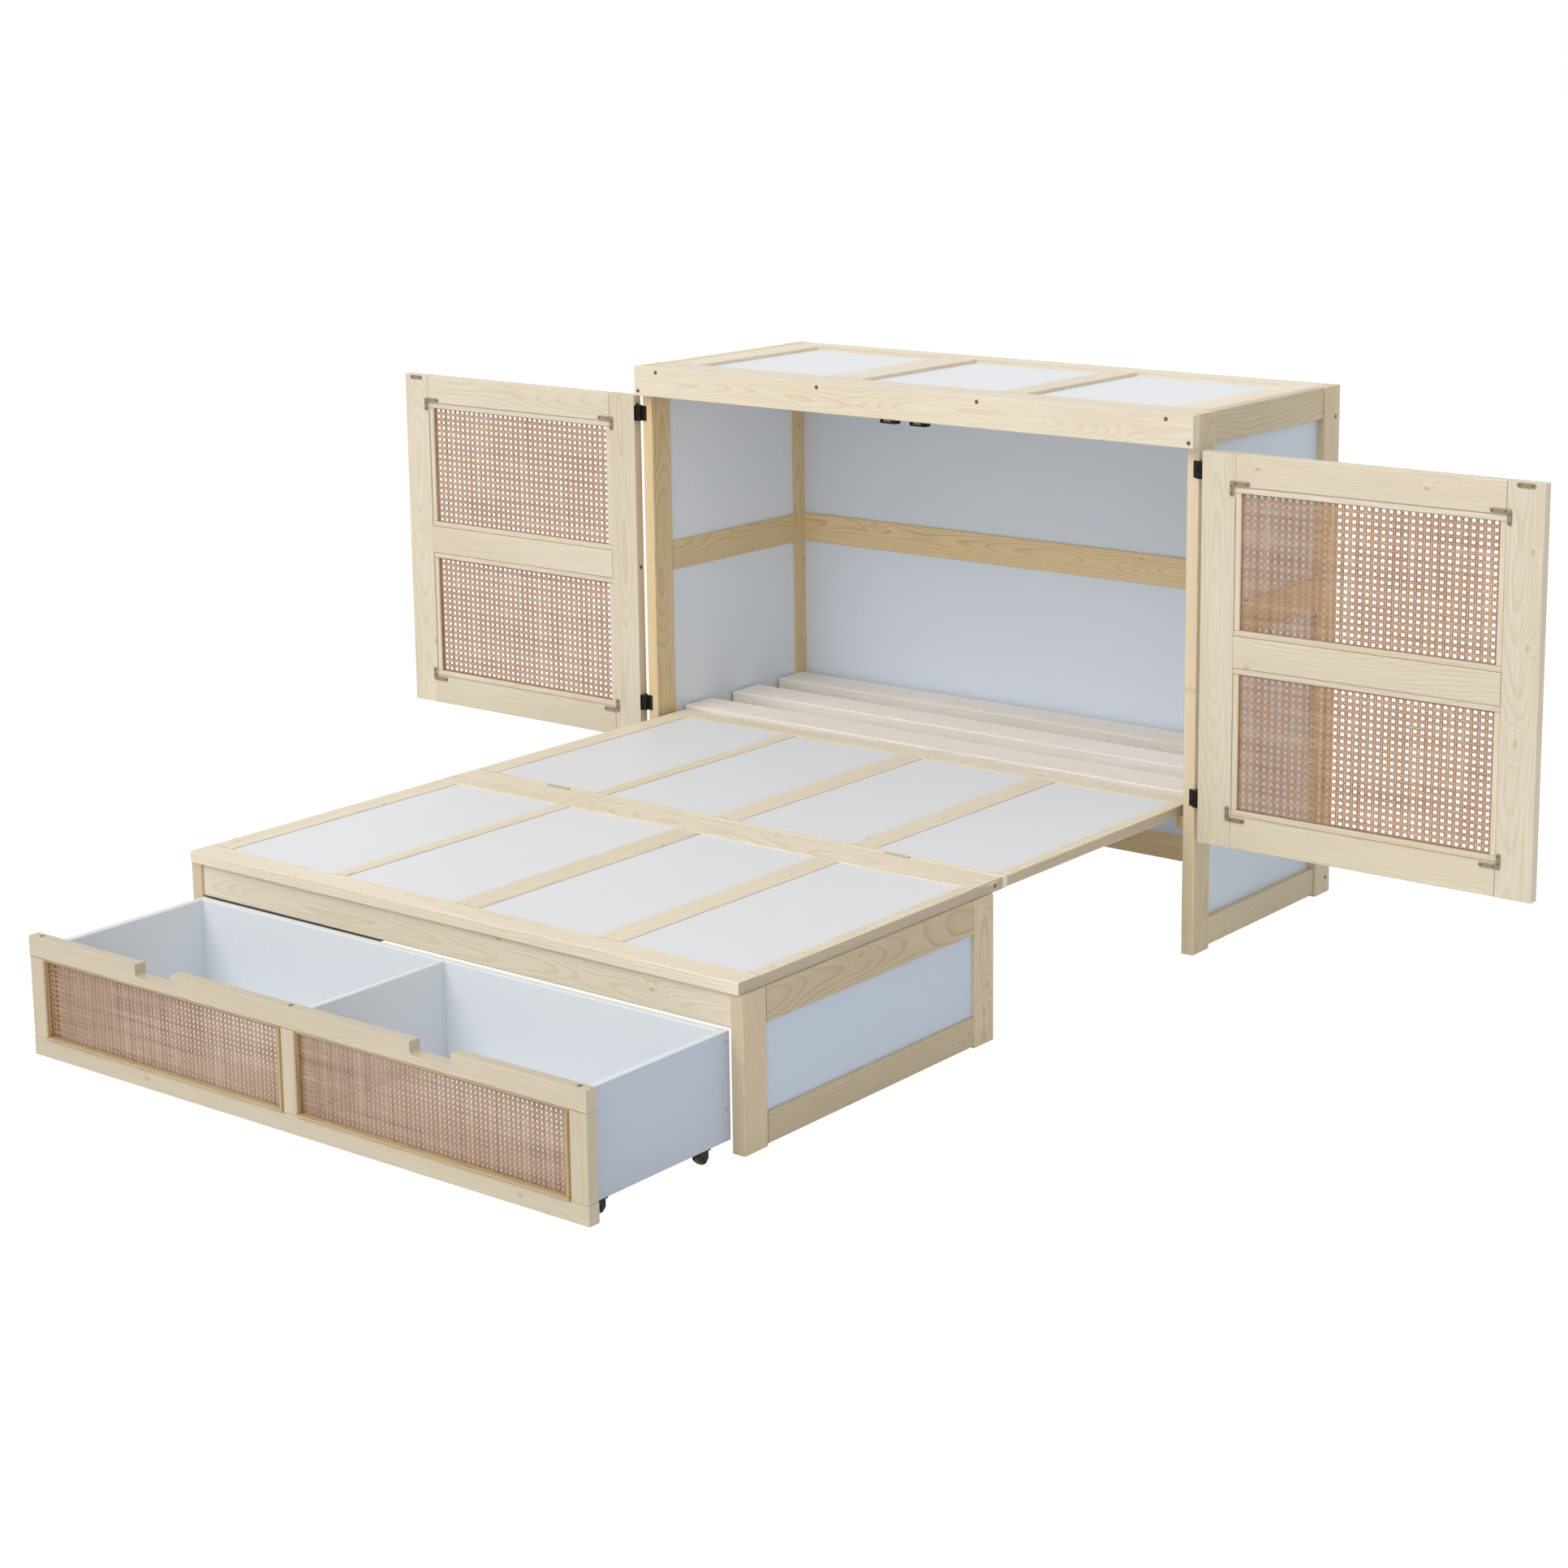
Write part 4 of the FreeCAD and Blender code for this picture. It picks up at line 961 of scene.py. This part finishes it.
def axle_rivets():
    """The rivet heads of the axles, on both cheeks of each fork."""
    bm = bmesh.new()
    for low, high in boxes_of("caster_forks"):
        y = (low.y + high.y) / 2
        for x, way in ((low.x, -1), (high.x, 1)):
            screw_head(bm, (x - way * SUNK, y, AXLE_HEIGHT), (way, 0, 0), **RIVET)
    finish_fitting("caster_rivets", "black_metal", bm, "drawer")


bolt_heads()
for door in ("left_door", "right_door"):
    braces(door)
    strike(door)
hinge_ribs()
catch_magnets()
rear_post_bolts()
platform_screws()
drawer_screws()
for corner in ("front_left", "front_right", "rear_left", "rear_right"):
    caster("wheel_" + corner)
axle_rivets()


# ------------------------------------------------------------------ floor, light and camera

AMBIENT = 0.62
FLOOR_SIZE = 40.0
FLOOR_DROP = 0.0006
FLOOR_WHITE = 0.9
FLOOR_GLOW = 1.05
SHADOW_SHARE = 0.05

CAMERA_PLACE = (3.81399, -4.51486, 1.92187)
CAMERA_YAW = -0.64269
CAMERA_PITCH = 0.19463
CAMERA_ROLL = -0.00552
CAMERA_LENS = 69.95619
CAMERA_SHIFT = (-0.072, -0.12)
SENSOR_WIDTH = 36.0


def seen_directly(tree):
    """1 for what the camera sees straight or in a reflection, else 0; and the Light Path node."""
    path = tree.nodes.new("ShaderNodeLightPath")
    return maths(tree, "MAXIMUM", path.outputs["Is Camera Ray"], path.outputs["Is Glossy Ray"]), path


def plain_white(name):
    """A white floor that still takes a faint shadow where the camera looks straight at it."""
    mat = bpy.data.materials.new(name)
    mat.use_nodes = True
    tree = mat.node_tree
    tree.nodes.clear()
    out = tree.nodes.new("ShaderNodeOutputMaterial")
    matt = tree.nodes.new("ShaderNodeBsdfDiffuse")
    matt.inputs["Color"].default_value = (FLOOR_WHITE, FLOOR_WHITE, FLOOR_WHITE, 1)
    glow = tree.nodes.new("ShaderNodeEmission")
    glow.inputs["Strength"].default_value = FLOOR_GLOW
    seen, _ = seen_directly(tree)
    mix = tree.nodes.new("ShaderNodeMixShader")
    link(tree, maths(tree, "MULTIPLY", seen, 1 - SHADOW_SHARE), mix.inputs[0])
    link(tree, matt.outputs[0], mix.inputs[1])
    link(tree, glow.outputs[0], mix.inputs[2])
    link(tree, mix.outputs[0], out.inputs["Surface"])
    return mat


def make_floor():
    bm = bmesh.new()
    bmesh.ops.create_grid(bm, x_segments=1, y_segments=1, size=FLOOR_SIZE)
    mesh = bpy.data.meshes.new("floor")
    bm.to_mesh(mesh)
    bm.free()
    mesh.materials.append(plain_white("studio_floor"))
    floor = bpy.data.objects.new("floor", mesh)
    floor.location.z = -FLOOR_DROP
    bpy.context.scene.collection.objects.link(floor)


def make_world():
    """White to the camera and in reflections, and a softer white light on the bed."""
    world = bpy.data.worlds.new("studio")
    bpy.context.scene.world = world
    world.use_nodes = True
    tree = world.node_tree
    background = tree.nodes["Background"]
    seen, path = seen_directly(tree)
    clear = maths(tree, "MAXIMUM", seen, path.outputs["Is Transmission Ray"])
    strength = maths(tree, "ADD", maths(tree, "MULTIPLY", clear, 1 - AMBIENT), AMBIENT)
    background.inputs["Color"].default_value = (1, 1, 1, 1)
    link(tree, strength, background.inputs["Strength"])


def make_sun(name, toward, strength, angle):
    """A soft parallel light that shines along a direction."""
    lamp = bpy.data.lights.new(name, "SUN")
    lamp.energy = strength
    lamp.angle = math.radians(angle)
    obj = bpy.data.objects.new(name, lamp)
    obj.rotation_mode = "QUATERNION"
    obj.rotation_quaternion = Vector(toward).to_track_quat("-Z", "Y")
    bpy.context.scene.collection.objects.link(obj)


def make_camera():
    """The photograph's viewpoint, with less shift than fits it best, so that views from other sides
    keep more of the bed in the frame."""
    forward = Vector((math.sin(CAMERA_YAW) * math.cos(CAMERA_PITCH),
                      math.cos(CAMERA_YAW) * math.cos(CAMERA_PITCH),
                      -math.sin(CAMERA_PITCH)))
    level = Vector((math.cos(CAMERA_YAW), -math.sin(CAMERA_YAW), 0))
    rise = level.cross(forward)
    right = math.cos(CAMERA_ROLL) * level + math.sin(CAMERA_ROLL) * rise
    up = math.cos(CAMERA_ROLL) * rise - math.sin(CAMERA_ROLL) * level
    data = bpy.data.cameras.new("camera")
    data.sensor_width = SENSOR_WIDTH
    data.lens = CAMERA_LENS
    data.shift_x, data.shift_y = CAMERA_SHIFT
    camera = bpy.data.objects.new("camera", data)
    turn = Matrix((right, up, -forward)).transposed().to_4x4()
    camera.matrix_world = Matrix.Translation(CAMERA_PLACE) @ turn
    bpy.context.scene.collection.objects.link(camera)
    bpy.context.scene.camera = camera


make_floor()
make_world()
make_sun("key_light", (0.18, 0.85, -0.95), 1.35, 40)
make_sun("fill_light", (-0.25, 0.90, -0.20), 0.35, 60)
make_camera()
bpy.context.scene.view_settings.view_transform = "Standard"
